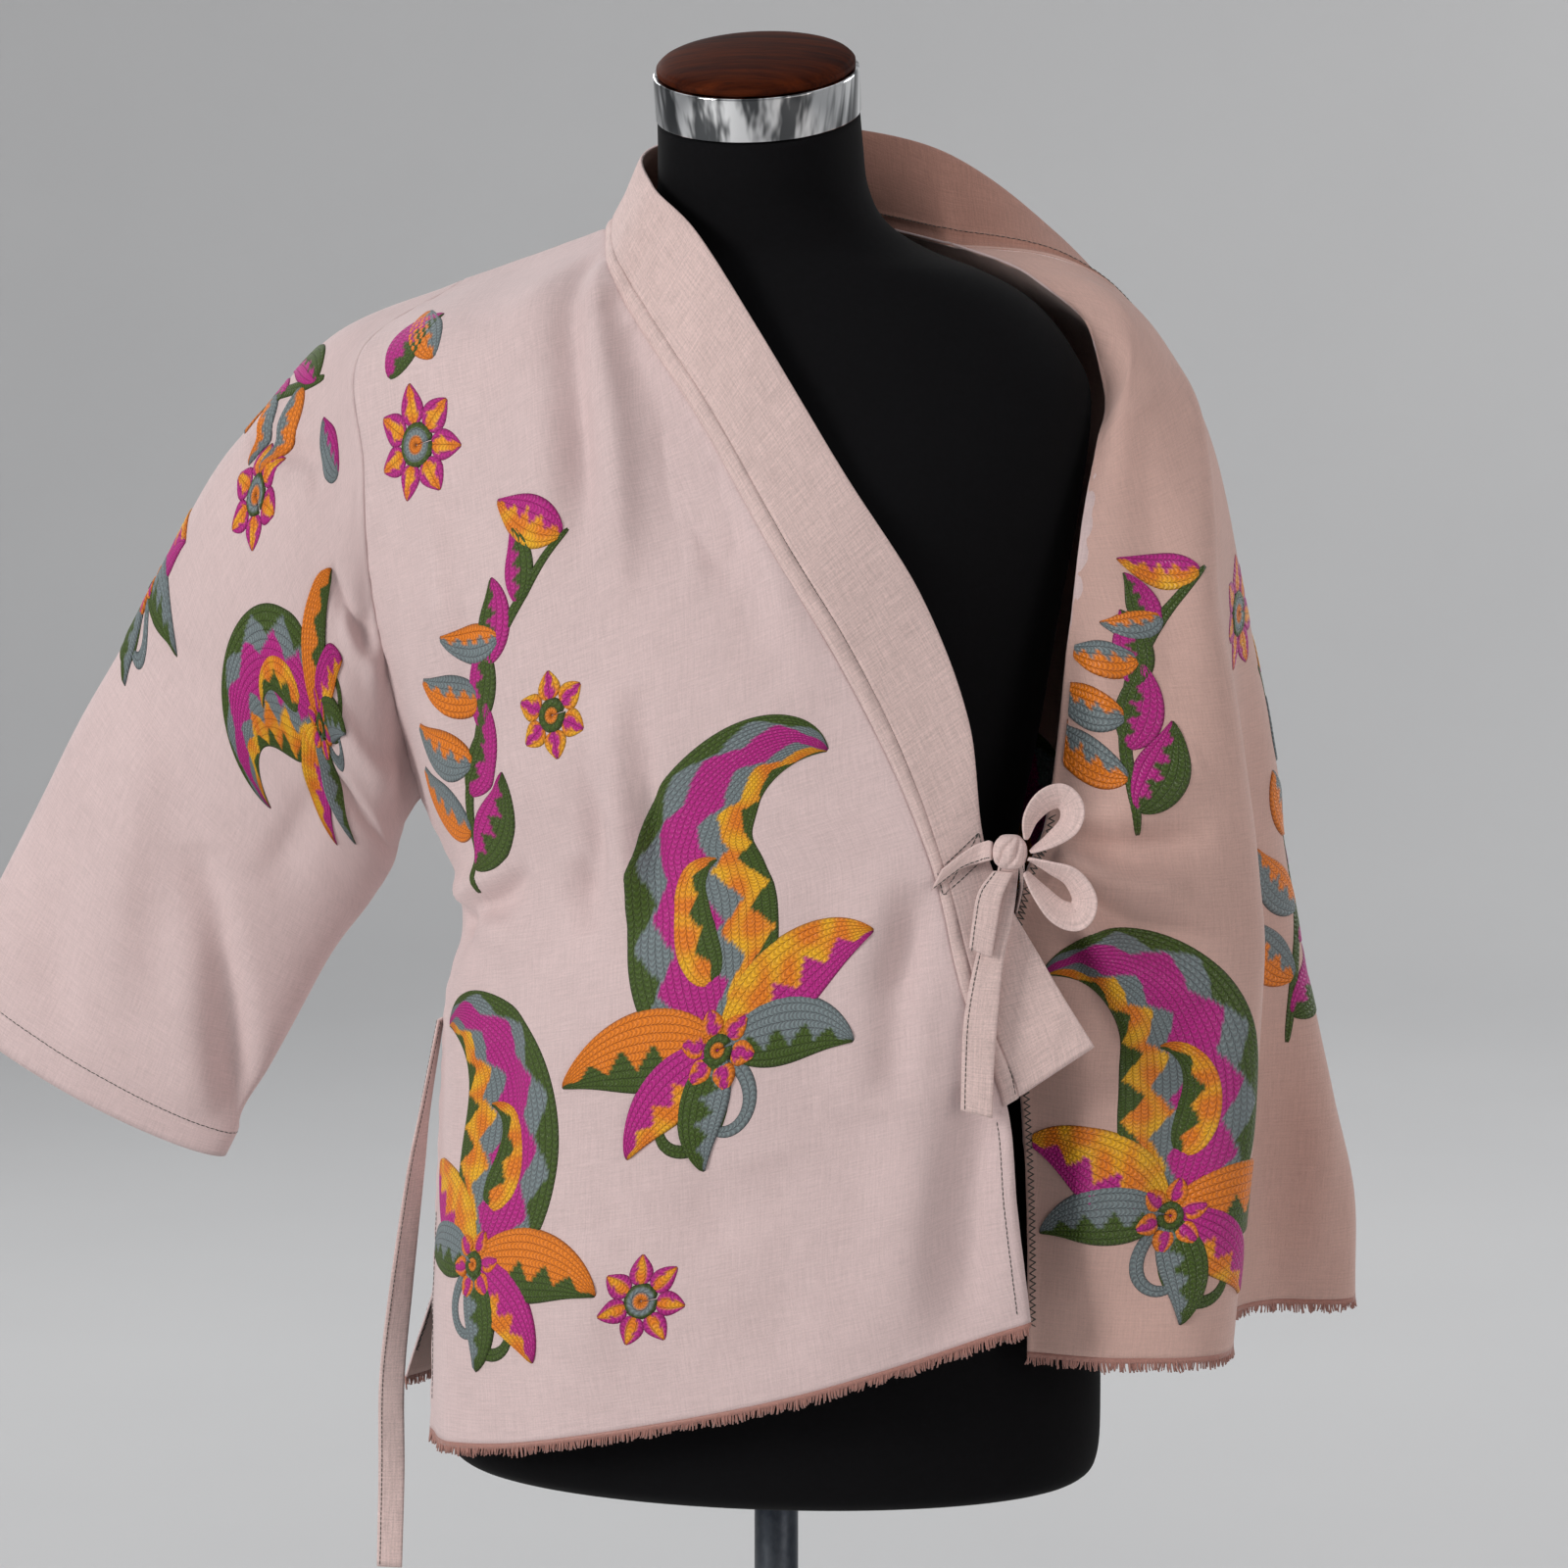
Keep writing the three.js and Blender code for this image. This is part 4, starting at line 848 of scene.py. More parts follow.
def polished_chrome():
    """Polished plate with upright streaks, lighter and darker round the band, and finger haze."""
    f = Finish("neck chrome")
    place = f.object_place()
    x, y, _ = f.axes(place)
    haze = f.noise(place, 60.0, 3.0)
    # painted reflections: light and dark upright streaks round the band, in the base colour
    streak = f.noise(f.vector(x * 70.0, y * 70.0, 3.0), 1.0, 3.0, 0.65)
    colour = f.mix(streak.over(0.40, 0.60), (0.10, 0.105, 0.11), (0.9, 0.91, 0.92))
    return f.shade(Base_Color=colour, Metallic=1.0, Roughness=0.07 + haze * 0.08)


def cap_wood():
    """Dark lacquered wood with long grain along X and small pores."""
    f = Finish("cap wood")
    x, y, z = f.axes(f.object_place())
    warp = f.noise(f.vector(x * 6.0, y * 30.0, z * 30.0), 1.0, 3.0)
    grain = f.noise(f.vector(x * 12.0, y * 160.0 + warp * 3.0, z * 60.0), 1.0, 4.0, 0.65)
    pores = f.noise(f.vector(x * 90.0, y * 900.0, z * 300.0), 1.0, 2.0)
    colour = f.mix(grain.over(0.3, 0.72), (0.022, 0.0035, 0.001), (0.085, 0.0155, 0.003))
    colour = f.mix(pores.over(0.6, 0.7) * 0.5, colour, (0.01, 0.004, 0.003))
    return f.shade(Base_Color=colour, Roughness=0.6 + grain * 0.15, Specular_IOR_Level=0.06,
                   Normal=f.bump(pores, 0.12, 0.0003))


def dark_steel():
    """Blued steel with drawn lines along Z and light wear."""
    f = Finish("stand steel")
    x, y, z = f.axes(f.object_place())
    drawn = f.noise(f.vector(x * 900.0, y * 900.0, z * 12.0), 1.0, 2.0)
    worn = f.noise(f.vector(x * 40.0, y * 40.0, z * 25.0), 1.0, 4.0, 0.65)
    colour = f.mix(worn.over(0.4, 0.75), (0.035, 0.042, 0.055), (0.1, 0.11, 0.125))
    return f.shade(Base_Color=colour, Metallic=0.9, Roughness=0.24 + worn * 0.16 + drawn * 0.06)


# ---------------------------------------------------------------- the jacket's cloths
SLEEVE_COLUMNS = 8  # columns round a sleeve in which its folds are given
# row, column at one end, row, column at the other, bow, depth and width in millimetres
RIGHT_FOLDS = [
    (0.6, 3.64, 3.6, 2.72, 0.02, -4.5, 13), (0.6, 3.36, 3.7, 2.36, 0.02, 3.0, 17),
    (1.3, 3.92, 4.1, 3.33, -0.03, -4.0, 12), (0.8, 3.83, 4.1, 2.92, 0.0, 3.5, 12),
    (1.9, 3.86, 4.3, 3.56, -0.03, -3.2, 12), (1.6, 3.89, 4.1, 3.42, -0.02, 3.0, 12),
    (2.8, 3.78, 5.1, 3.69, -0.02, -2.6, 12), (3.4, 3.89, 5.3, 3.86, 0.0, 2.0, 14),
    (4.7, 2.92, 6.8, 2.67, 0.03, -3.2, 10), (4.6, 2.75, 6.8, 2.50, 0.02, 3.0, 12),
    (5.0, 2.47, 6.7, 2.33, 0.0, -2.5, 9), (6.2, 0.31, 5.9, 1.78, 0.06, -4.0, 9),
    (5.8, 0.10, 5.8, 1.56, 0.05, 3.6, 11), (5.9, 2.22, 6.6, 2.25, 0.0, -3.0, 9),
    (8.7, 3.94, 11.0, 3.72, 0.02, -4.0, 18), (7.8, 3.78, 10.9, 3.47, 0.0, 3.0, 22),
    (7.0, 3.92, 8.7, 3.58, 0.03, -3.5, 14), (6.7, 3.81, 8.8, 3.44, 0.02, 2.8, 18),
    (8.6, 2.72, 10.1, 2.83, 0.0, -2.0, 20), (8.9, 3.06, 10.8, 2.97, 0.0, -2.2, 22),
    (6.7, 1.56, 9.6, 1.89, 0.03, -2.4, 16), (3.6, 1.47, 5.6, 1.61, 0.04, -2.6, 14),
    (2.3, 1.19, 4.2, 1.42, 0.02, 2.4, 14), (9.3, 2.25, 10.8, 2.22, 0.0, 2.0, 18),
    (5.8, 0.42, 6.6, 1.94, 0.05, 2.6, 10),
]
LEFT_FOLDS = [
    (5.5, 0.21, 6.0, 1.46, 0.04, -4.0, 9), (5.9, 0.33, 6.8, 1.67, 0.04, 3.5, 10),
    (6.1, 0.33, 7.5, 1.54, 0.03, -3.0, 11), (5.2, 0.17, 5.2, 1.62, 0.03, 3.4, 11),
    (5.1, 0.21, 4.6, 1.58, 0.03, -3.0, 12), (2.1, 3.75, 3.7, 2.12, 0.02, -2.8, 12),
    (2.1, 1.67, 4.7, 1.25, 0.02, 2.6, 20), (3.8, 0.42, 4.7, 0.67, 0.0, -2.4, 12),
    (7.3, 0.67, 10.6, 0.62, 0.0, -2.2, 14), (7.4, 1.38, 10.7, 1.33, 0.0, 2.4, 18),
    (6.8, 1.08, 10.3, 1.04, 0.0, -1.8, 14), (7.8, 4.96, 10.7, 4.54, 0.0, -2.0, 12),
    (6.4, 0.54, 8.6, 1.25, 0.05, 2.4, 10),
]
BACK_FOLDS = [
    (1.0, 1.2, 7.0, 1.5, 0.03, 3.4, 18), (1.2, 1.8, 6.2, 2.0, -0.02, -3.2, 15),
    (2.0, 3.0, 8.6, 3.2, 0.02, -3.4, 18), (3.0, 3.6, 9.4, 3.7, 0.03, 3.0, 20),
    (1.4, 4.7, 6.8, 4.4, -0.03, 3.2, 16), (1.0, 5.2, 5.2, 5.0, -0.02, -3.0, 12),
    (5.8, 0.4, 6.4, 2.2, 0.05, -3.6, 10), (6.2, 0.3, 7.0, 1.8, 0.04, 3.0, 10),
    (5.6, 5.4, 6.3, 3.9, -0.05, -3.4, 10), (6.6, 2.6, 10.4, 2.4, 0.02, -2.6, 20),
    (7.4, 4.6, 10.8, 4.7, 0.02, 3.0, 20), (0.3, 3.1, 1.6, 3.0, 0.0, -2.0, 22),
]
RIGHT_SLEEVE_FOLDS = [
    (4.7, 2.04, 6.7, 4.00, 0.02, -5.0, 14), (5.0, 2.18, 6.6, 3.16, 0.0, 2.8, 16),
    (4.2, 1.20, 6.2, 2.09, 0.02, 3.0, 24), (2.1, 0.40, 1.0, 1.38, 0.04, -2.2, 6),
    (2.0, 0.80, 1.2, 1.38, 0.04, 1.6, 6), (1.1, 1.87, 0.1, 2.71, 0.03, -2.8, 8),
    (1.0, 2.09, 0.1, 3.02, 0.02, 2.4, 9), (2.9, 2.36, 1.6, 3.51, -0.03, -2.6, 10),
    (1.7, 2.31, 0.4, 3.60, 0.0, 2.4, 11), (5.7, 1.11, 6.6, 1.82, 0.0, -2.0, 16),
    (4.6, 2.62, 2.8, 2.67, 0.0, -1.8, 12), (4.4, 5.2, 6.4, 5.6, 0.03, -3.4, 14),
    (1.0, 5.4, 2.4, 4.9, 0.04, -2.8, 9), (2.2, 6.2, 5.2, 6.6, 0.02, 2.6, 18),
    (0.4, 4.6, 1.6, 5.3, 0.03, 2.2, 10),
]
LEFT_SLEEVE_FOLDS = [
    (1.4, 6.6, 5.4, 6.2, 0.03, -3.0, 12), (1.2, 5.6, 4.8, 5.4, -0.02, 2.6, 14),
    (1.6, 7.3, 3.0, 6.9, 0.03, -2.4, 9), (2.0, 0.6, 5.0, 0.5, 0.0, -2.2, 12),
    (2.6, 4.8, 5.6, 4.9, 0.0, -2.2, 12),
]

# places across the band: a rolled lip along the seam, the ditch of its stitching, the flat and the fold
BAND_ACROSS = np.array([
    0, 0.025, 0.05, 0.075, 0.1, 0.12, 0.135, 0.15, 0.17, 0.2, 0.28, 0.38, 0.48, 0.58, 0.68,
    0.78, 0.86, 0.92, 0.96, 0.985, 1])
BAND_DITCH = 0.135
FORM_CLEARANCE = 1.6  # millimetres between the form and a panel's middle surface
SHOULDER_SPANS = 2 * BACK_STEPS  # grid columns of the back along each shoulder seam
SIDE_REACH, SHOULDER_REACH = 10, 8  # grid steps over which the back is drawn to the fronts' seams
made, finishes = {}, {}


def sizes():
    """The sizes and colours that the panel shows."""
    return bpy.context.scene.jacket_sizes


def sleeve_ring(front, back_edge):
    """The armhole: down the front panel's edge and up the back panel's edge."""
    underarm = UNDERARM_ROW * ROW_STEPS
    return np.concatenate([front[:underarm + 1], back_edge[1:underarm][::-1]])


def sleeve_surface(ring, lead, table):
    """Sleeve s(section, a) = centre + along · cos a + across · sin a + skew · cos 2a.

    It runs smoothly through the sections, from the armhole ring on."""
    underarm = UNDERARM_ROW * ROW_STEPS
    k = np.arange(len(ring))
    a = np.where(k <= underarm, k / underarm, 1 + (k - underarm) / underarm)[:, None] * math.pi
    sections = [ring]
    if lead is not None:
        sections.append(ring + lead)
    for top, fore, under, rear in table:
        centre = (top + fore + under + rear) / 4
        skew = (top + under - fore - rear) / 4
        sections.append(centre + (top - under) / 2 * np.cos(a) + (fore - rear) / 2 * np.sin(a)
                        + skew * np.cos(2 * a))
    control = np.stack(sections)
    return along(control, steps_of(control, RING_STEPS))


def cloths():
    """All middle surfaces of the jacket, made once: panels, sleeves and band share their seam lines."""
    if made:
        return made
    for name, table, columns, side, anchor, size, seed, folds in (
            ("front_right", FRONT_RIGHT, FRONT_STEPS, -1, 0.5, 0.7, 3, RIGHT_FOLDS),
            ("front_left", FRONT_LEFT, BACK_STEPS, 1, 0.33, 0.7, 5, LEFT_FOLDS),
            ("back", BACK, BACK_STEPS, 1, 0.5, 0.9, 7, BACK_FOLDS)):
        cloth = Cloth(surface_of(table, ROW_STEPS, columns), side, anchor)
        waver(cloth, size * MM, seed)
        cloth.fold(folds, columns)
        cloth.points = off_the_form(cloth.points, FORM_CLEARANCE * MM)
        made[name] = cloth
    right, left, back = made.values()
    sides = slice(UNDERARM_ROW * ROW_STEPS, SLIT_ROW * ROW_STEPS + 1)
    p = back.points
    for edge, front in ((0, right), (-1, left)):
        target = np.full((len(p), 3), np.nan)
        target[sides] = front.points[sides, 0]
        p = weld(p, edge, target, SIDE_REACH)
    shoulder = np.full((p.shape[1], 3), np.nan)
    runs = [along(front.points[0], np.linspace(0, front.points.shape[1] - 1, SHOULDER_SPANS + 1))
            for front in (right, left)]
    shoulder[:SHOULDER_SPANS + 1] = runs[0]
    shoulder[-SHOULDER_SPANS - 1:] = runs[1][::-1]
    back.points = weld(p, 0, shoulder, SHOULDER_REACH, axis=0)
    for cloth in (right, left, back):
        cloth.measure()

    for name, front, edge, lead, table, side, size, seed, folds in (
            ("sleeve_right", right, 0, None, SLEEVE_RIGHT, -1, 0.7, 9, RIGHT_SLEEVE_FOLDS),
            ("sleeve_left", left, -1, LEFT_SLEEVE_LEAD, SLEEVE_LEFT, 1, 0.5, 13, LEFT_SLEEVE_FOLDS)):
        ring = sleeve_ring(front.points[:, 0], back.points[:, edge])
        sleeve = Cloth(sleeve_surface(ring, lead, table), side, 0, closed=True)
        waver(sleeve, size * MM, seed)
        sleeve.fold(folds, len(ring) / SLEEVE_COLUMNS, RING_STEPS)
        made[name] = sleeve
    for name, cloth in made.items():
        puff(cloth, "t" if name.startswith("sleeve") else "tls")
    made["collar_band"] = band_surface(right, left, back)
    return made


def band_surface(right, left, back):
    """The collar band, straight from the seam to its free edge, with a rolled lip and a stitched ditch.

    Height in mm = 0.5 + exp(-((s - 0.06) / 0.06)²) - 1.1 · exp(-((s - ditch) / 0.014)²), s across."""
    end = BAND_END_ROW * ROW_STEPS
    seam = np.concatenate([right.points[:end + 1, -1][::-1],
                           back.points[0, SHOULDER_SPANS + 1:-SHOULDER_SPANS - 1],
                           left.points[:end + 1, -1]])
    neck = np.arange(BACK_STEPS) / BACK_STEPS
    steps = np.concatenate([np.arange(end) / ROW_STEPS, BAND_END_ROW + neck, BAND_END_ROW + 1 + neck,
                            BAND_END_ROW + 2 + np.arange(end + 1) / ROW_STEPS])
    free = along(BAND_FREE, steps)
    s = BAND_ACROSS[None, :, None]
    band = Cloth((1 - s) * seam[:, None] + s * free[:, None], 1, 0)
    lip = 1.0 * np.exp(-((BAND_ACROSS - 0.06) / 0.06) ** 2) + 0.5
    ditch = -1.1 * np.exp(-((BAND_ACROSS - BAND_DITCH) / 0.014) ** 2)
    inward = np.where(BAND_ACROSS < 0.05, -1.6 * (1 - BAND_ACROSS / 0.05), 0)
    cross = (free - seam) / np.linalg.norm(free - seam, axis=1, keepdims=True)
    band.points = (band.points + MM * (lip + ditch)[None, :, None] * band.normals
                   + MM * inward[None, :, None] * cross[:, None])
    band.measure()
    waver(band, 0.55 * MM, 17)
    return band


def paints():
    """The finishes by name, made once."""
    if finishes:
        return finishes
    cloth, inside, band, fringe = (
        np.array(getattr(sizes(), part + "_colour")) for part in ("cloth", "inside", "band", "fringe"))
    finishes.update({
        "right side": heathered_cloth("jacket cloth", cloth, 0.68, 1.15, 0.58),
        # the wrong side's own browner tone, darkened and browned further as painted shade
        "wrong side": heathered_cloth("jacket cloth inside with painted shade", inside, 0.66),
        "band": heathered_cloth("band cloth", band, 0.6, contrast=0.8),
        # painted shade: the band's inner face is the inside colour darkened and browned
        "band inside painted shade": heathered_cloth("band cloth inside painted shade", (0.78, 0.61, 0.54) * inside, 0.6, contrast=0.7),
        "fringe": thread_finish("fringe thread", fringe),
        "seam thread": thread_finish("seam thread", (0.035, 0.045, 0.035)),
        "embroidery": chain_thread("embroidery thread", 0.6, 2.5, 0.9, 0.8),
        "embroidery back": chain_thread("embroidery thread inside", 0.28, 2.6, 0.95, 1.0),
        "jersey": knit_jersey(),
        "chrome": polished_chrome(),
        "wood": cap_wood(),
        "steel": dark_steel(),
    })
    return finishes


def make_panels():
    """Fronts, back and sleeves: thin shells on the surfaces of cloths()."""
    c, f = cloths(), paints()
    for name in ("front_right", "front_left", "back", "sleeve_right", "sleeve_left"):
        piece = shell(name + "_cloth", c[name], sizes().cloth_wall,
                      [f["right side"], f["wrong side"]], "jacket_cloth")
        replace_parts(piece, name)


def make_band():
    """The collar band: a shell whose wall thins towards both edges as 1 - 0.5 · |2s - 1|^16, s across it."""
    f = paints()
    wall = sizes().band_wall * (1 - 0.5 * np.abs(2 * BAND_ACROSS - 1) ** 16)[None, :]
    piece = shell("collar_band_cloth", cloths()["collar_band"], wall,
                  [f["band"], f["band inside painted shade"]], "band_cloth")
    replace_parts(piece, "collar_band")


def loop_edges(table):
    """The two edges of a bow loop: the ribbon opens towards the front like a shallow cone."""
    x, z, half = along(table, steps_of(table, TIE_STEPS)).T
    y = np.full(len(x), BOW_FRONT)
    path = np.stack([x, y, z], 1)
    ahead = np.gradient(path, axis=0)
    ahead /= np.linalg.norm(ahead, axis=1, keepdims=True)
    out = np.cross(ahead, [0, 1.0, 0])
    if ((path - path.mean(axis=0)) * out).sum() < 0:
        out = -out
    open_by = np.sin(math.pi * np.linspace(0, 1, len(x)))[:, None] ** 0.5
    cone = 1.05 * half[:, None] * open_by * out
    level = np.array([[0, 0.7, 0]]) * half[:, None]
    return path - level + cone, path + level - cone


TIES = {"tie_band": TIE_BAND, "tie_side": TIE_SIDE, "bow_tail_short": TAIL_SHORT,
        "bow_tail_long": TAIL_LONG, "tie_inner": TIE_INNER}


def strips():
    """The two edge lines of every tie and of both bow loops."""
    edges = {name: tie(table) for name, table in TIES.items()}
    return {**edges, "bow_loop_upper": loop_edges(LOOP_UPPER), "bow_loop_lower": loop_edges(LOOP_LOWER)}


def make_ties():
    """Ties and bow loops: folded ribbons between their two edge lines."""
    for name, edges in strips().items():
        piece = ribbon(name + "_cloth", *edges, paints()["band"], "band_cloth")
        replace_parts(piece, name)


def make_knot():
    """The knot: a boxy ellipsoid of wrapped ribbon, with radius 1 - 0.22 · exp(-(d/0.18)²) at creases d.

    Creases run at angles a + k·b: two cross the front and two lie behind, and the wraps swell by 5%
    between them."""
    rows, sides = 33, 64
    b = np.linspace(-0.49, 0.49, rows)[:, None] * math.pi
    a = 2 * math.pi * np.arange(sides)[None] / sides
    swell = 1 + 0.05 * np.cos(4 * a + 2.2 * b) * np.cos(b)
    for angle, slope in ((-1.95, 0.8), (-1.1, 0.55), (0.9, -0.6), (2.6, 0.5)):
        d = np.abs((a - angle - slope * b + math.pi) % (2 * math.pi) - math.pi)
        swell = swell - 0.22 * np.exp(-(d / 0.18) ** 2) * np.cos(b)
    girth = swell * oval(np.cos(b), 0.62)
    ring = np.stack([girth * oval(np.cos(a), 0.82), girth * oval(np.sin(a), 0.82),
                     oval(np.sin(b), 0.85) + 0 * a], 2)
    u = np.arange(sides + 1) / sides * 55 * MM
    v = (b[:, 0] + 1.5) * 9 * MM
    piece = tube("bow_knot_cloth", ring * KNOT_RADII + KNOT_CENTRE, u, v, paints()["band"], "band_cloth")
    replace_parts(piece, "bow_knot")


def prism_faces(rings):
    """Quads of a four-sided body through rings, with one quad at each end."""
    r, c = grid_faces(rings, 4, True)
    ends = np.array([[3, 2, 1, 0], [0, 1, 2, 3]]) + np.array([[0], [4 * (rings - 1)]])
    return np.concatenate([r * 4 + c % 4, ends])


def strip_of(line, tall, half):
    """A closed strip under a line: a rectangle, tall downwards and two halves wide, carried along it."""
    out = np.cross(np.gradient(line, axis=0), [0, 0, 1.0])
    out = half * out / np.linalg.norm(out, axis=1, keepdims=True)
    down = np.array([0, 0, -tall])
    ring = np.stack([line - out, line + out, line + 0.6 * out + down, line - 0.6 * out + down], 1)
    return ring.reshape(-1, 3), prism_faces(len(line))


def make_fringe():
    """Hem strands: bent tapered threads at uneven spacing, hanging from a root under each hem.

    Strand p(s) = hem - s · long · up + s^1.5 · long · (side · ahead + lean · out)
    + sin 3s · long · curl · ahead, with a radius of 0.64 · (1 - 0.35 s) mm. Neighbours share a clump."""
    rng = np.random.default_rng(11)
    rings, spacing = 4, 6
    s = np.linspace(0, 1, rings)
    sway, wave = (s**1.5)[None, :, None], np.sin(3 * s)[None, :, None]
    a = 2 * math.pi * np.arange(4) / 4
    cos, sin = np.cos(a)[None, None, :, None], np.sin(a)[None, None, :, None]
    for name, label in (("front_right", "fringe_right"), ("front_left", "fringe_left"),
                        ("back", "fringe_back")):
        hem = cloths()[name].points[-1] + np.array([0, 0, 1]) * MM
        at, ahead = spread(hem, sizes().fringe_pitch)
        n = len(at)
        at = at + rng.normal(0, 0.2 * MM, (n, 1)) * ahead
        knots = np.arange(0, n + spacing, spacing)
        clump = np.interp(np.arange(n), knots, rng.normal(0, 1, len(knots)))
        long = (6.9 + 0.7 * clump + rng.uniform(-0.9, 0.9, n)) * MM
        long[rng.random(n) < 0.08] *= 0.65
        side = 0.1 * np.roll(clump, 3) + rng.normal(0, 0.06, n)
        out = np.cross(ahead, [0, 0, 1.0])
        lean = rng.normal(0, 0.09, n)
        curl = rng.normal(0, 0.05, n)
        path = (at[:, None] - s[None, :, None] * long[:, None, None] * np.array([0, 0, 1.0])
                + sway * (long * side)[:, None, None] * ahead[:, None]
                + sway * (long * lean)[:, None, None] * out[:, None]
                + wave * (long * curl)[:, None, None] * ahead[:, None])
        radius = (0.64 * MM * (1 - 0.35 * s))[None, :, None, None]
        radius = radius * rng.uniform(0.8, 1.3, n)[:, None, None, None]
        ring = path[:, :, None] + radius * (cos * ahead[:, None, None] + sin * out[:, None, None])
        strands = prism_faces(rings)[None] + (np.arange(n) * rings * 4)[:, None, None]
        root = strip_of(hem, 3.0 * MM, 0.72 * MM)
        verts, faces = joined([(ring.reshape(-1, 3), strands.reshape(-1, 4)), root])
        piece = put(label + "_threads", verts, faces, [paints()["fringe"]], "fringe_thread")
        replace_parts(piece, label)


def make_form():
    """The form: each level section is a half ellipse in front and behind, leaning towards the neck."""
    rows = along(FORM, steps_of(FORM, 6))
    z, half, front, rear, centre, lean = (rows[:, k:k + 1] for k in range(6))
    sides = 128
    a = 2 * math.pi * np.arange(sides)[None] / sides
    deep = np.where(np.sin(a) < 0, centre - front, rear - centre) * np.sin(a)
    ring = np.stack([half * np.cos(a), centre + deep, z + np.tan(np.radians(lean)) * deep], 2) * MM
    u = np.arange(sides + 1) / sides
    piece = tube("form_torso_jersey", ring, u, rows[:, 0] * MM, paints()["jersey"], "form_jersey")
    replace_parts(piece, "form_torso")


AXIS = 0.2  # millimetres from the axis where a turned profile starts


def make_stand():
    """The turned parts, each from a profile of (radius, height) in millimetres."""
    f = paints()
    c, s = math.cos(NECK_TILT), math.sin(NECK_TILT)
    tilt = (np.array([[1, 0, 0], [0, c, -s], [0, s, c]]), NECK_TOP)
    chrome = rounded([(AXIS, 0.3), (56, 0.3), (56, 25), (AXIS, 25)], 1.2)
    t = np.linspace(0, 1, 14)
    dome = np.stack([52.6 * np.cos(t * math.pi / 2) + AXIS, 29.3 + 8 * np.sin(t * math.pi / 2)], 1)
    cap = np.concatenate([[(AXIS, 25.3), (53, 25.3), (54, 26.1), (54, 28.4), (53.6, 29.0)], dome])
    low, high = FLANGE_BASE, FLANGE_BASE + 8
    flange = rounded([(AXIS, low), (42, low), (42, high), (AXIS, high)], 1.5)
    pole = rounded([(AXIS, 14.3), (12.5, 14.3), (12.5, 681.3), (AXIS, 681.3)], 0.6)
    hub = rounded([(12.8, 14.3), (24, 14.3), (24, 48), (20.4, 54), (12.8, 54)], 2)
    plate = rounded([(AXIS, 0), (180, 0), (180, 8.4), (173, 14), (AXIS, 14)], 2.5)
    steel = f["steel"], "stand_steel"
    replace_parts(lathe("neck_band_metal", chrome, f["chrome"], "neck_chrome", 128, tilt), "neck_band")
    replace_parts(lathe("neck_cap_wood", cap, f["wood"], "cap_wood", 128, tilt), "neck_cap")
    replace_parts(lathe("form_flange_steel", flange, *steel), "form_flange")
    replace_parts(lathe("pole_steel", pole, *steel, 64), "pole")
    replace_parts(lathe("base_hub_steel", hub, *steel, bored=True), "base_hub")
    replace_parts(lathe("base_plate_steel", plate, *steel, 160), "base_plate")


# ---------------------------------------------------------------- embroidery
# linear colours of the embroidery yarns
YARNS = {
    "magenta": (0.56, 0.012, 0.27),
    "yellow": (1.0, 0.52, 0.01),
    "orange": (0.92, 0.245, 0.006),
    "olive": (0.055, 0.105, 0.005),
    "slate": (0.205, 0.26, 0.27),
}
RIM_SHADE = 0.45  # painted shade: share of a yarn's colour that is left at the edge of a patch, where it sinks into the cloth
ROW_PITCH = 4.4  # millimetres between two rows of chain stitch
ROW_COLUMNS = 3  # grid columns across one row
STEP = 2.2  # millimetres between two points along a row
EDGE_MARGIN = 5 * MM
RELIEF, RELIEF_INSIDE = 0.55, 0.5  # millimetres that the stitches stand above the cloth
LAYER_RISE = 0.28  # millimetres that each layer of stitches stands above the last
SUNK = -0.12  # millimetres by which a patch's rim goes into the cloth
SPRAY_YARNS = ("magenta", "slate", "olive", "orange")
INSIDE_SHOWN = {"front_left": (0, 1, 2, 3, 4), "back": (1, 3)}  # motifs whose reverse is seen in the opening


def spine(long, curl, bow=0.0, start=0.0):
    """A centre line that leaves upwards and turns by curl · t² + bow · sin(pi t) radians."""
    n = max(int(math.ceil(long / STEP)), 4)
    t = (np.arange(n) + 0.5) / n
    heading = math.pi / 2 - curl * t**2 - bow * np.sin(math.pi * t)
    step = long / n * np.stack([np.cos(heading), np.sin(heading)], 1)
    return np.concatenate([[(0.0, start)], np.cumsum(step, axis=0) + (0.0, start)])


def saw(x):
    """A triangle wave from -1 to 1 with period 1."""
    return np.abs(x % 1 - 0.5) * 4 - 1


def patch(line, half, tilt, bands, teeth=0, bite=0.0, layer=0, full=0.8):
    """One filled shape of chain-stitch rows: (places, colours, layer) on a grid of (along, across).

    Place = line + s · half · sin(pi t^tilt)^full · sideways for s from -1 to 1.
    Bands are (colour, upper s)."""
    t = np.linspace(0, 1, len(line))
    ahead = np.gradient(line, axis=0)
    ahead /= np.linalg.norm(ahead, axis=1, keepdims=True)
    side = np.stack([-ahead[:, 1], ahead[:, 0]], 1)
    wide = half * np.maximum(np.sin(math.pi * np.clip(t, 0.004, 0.996) ** tilt), 0.0) ** full
    wide = np.maximum(wide, 0.5)
    s = np.linspace(-1, 1, stitch_rows(2 * half) * ROW_COLUMNS + 1)
    places = line[:, None] + s[None, :, None] * wide[:, None, None] * side[:, None]
    return places, dyed(places, s, bands, t * teeth, bite), layer


def stitch_rows(wide):
    """How many rows of chain stitch fill a width in millimetres."""
    return max(int(round(wide / ROW_PITCH)), 1)


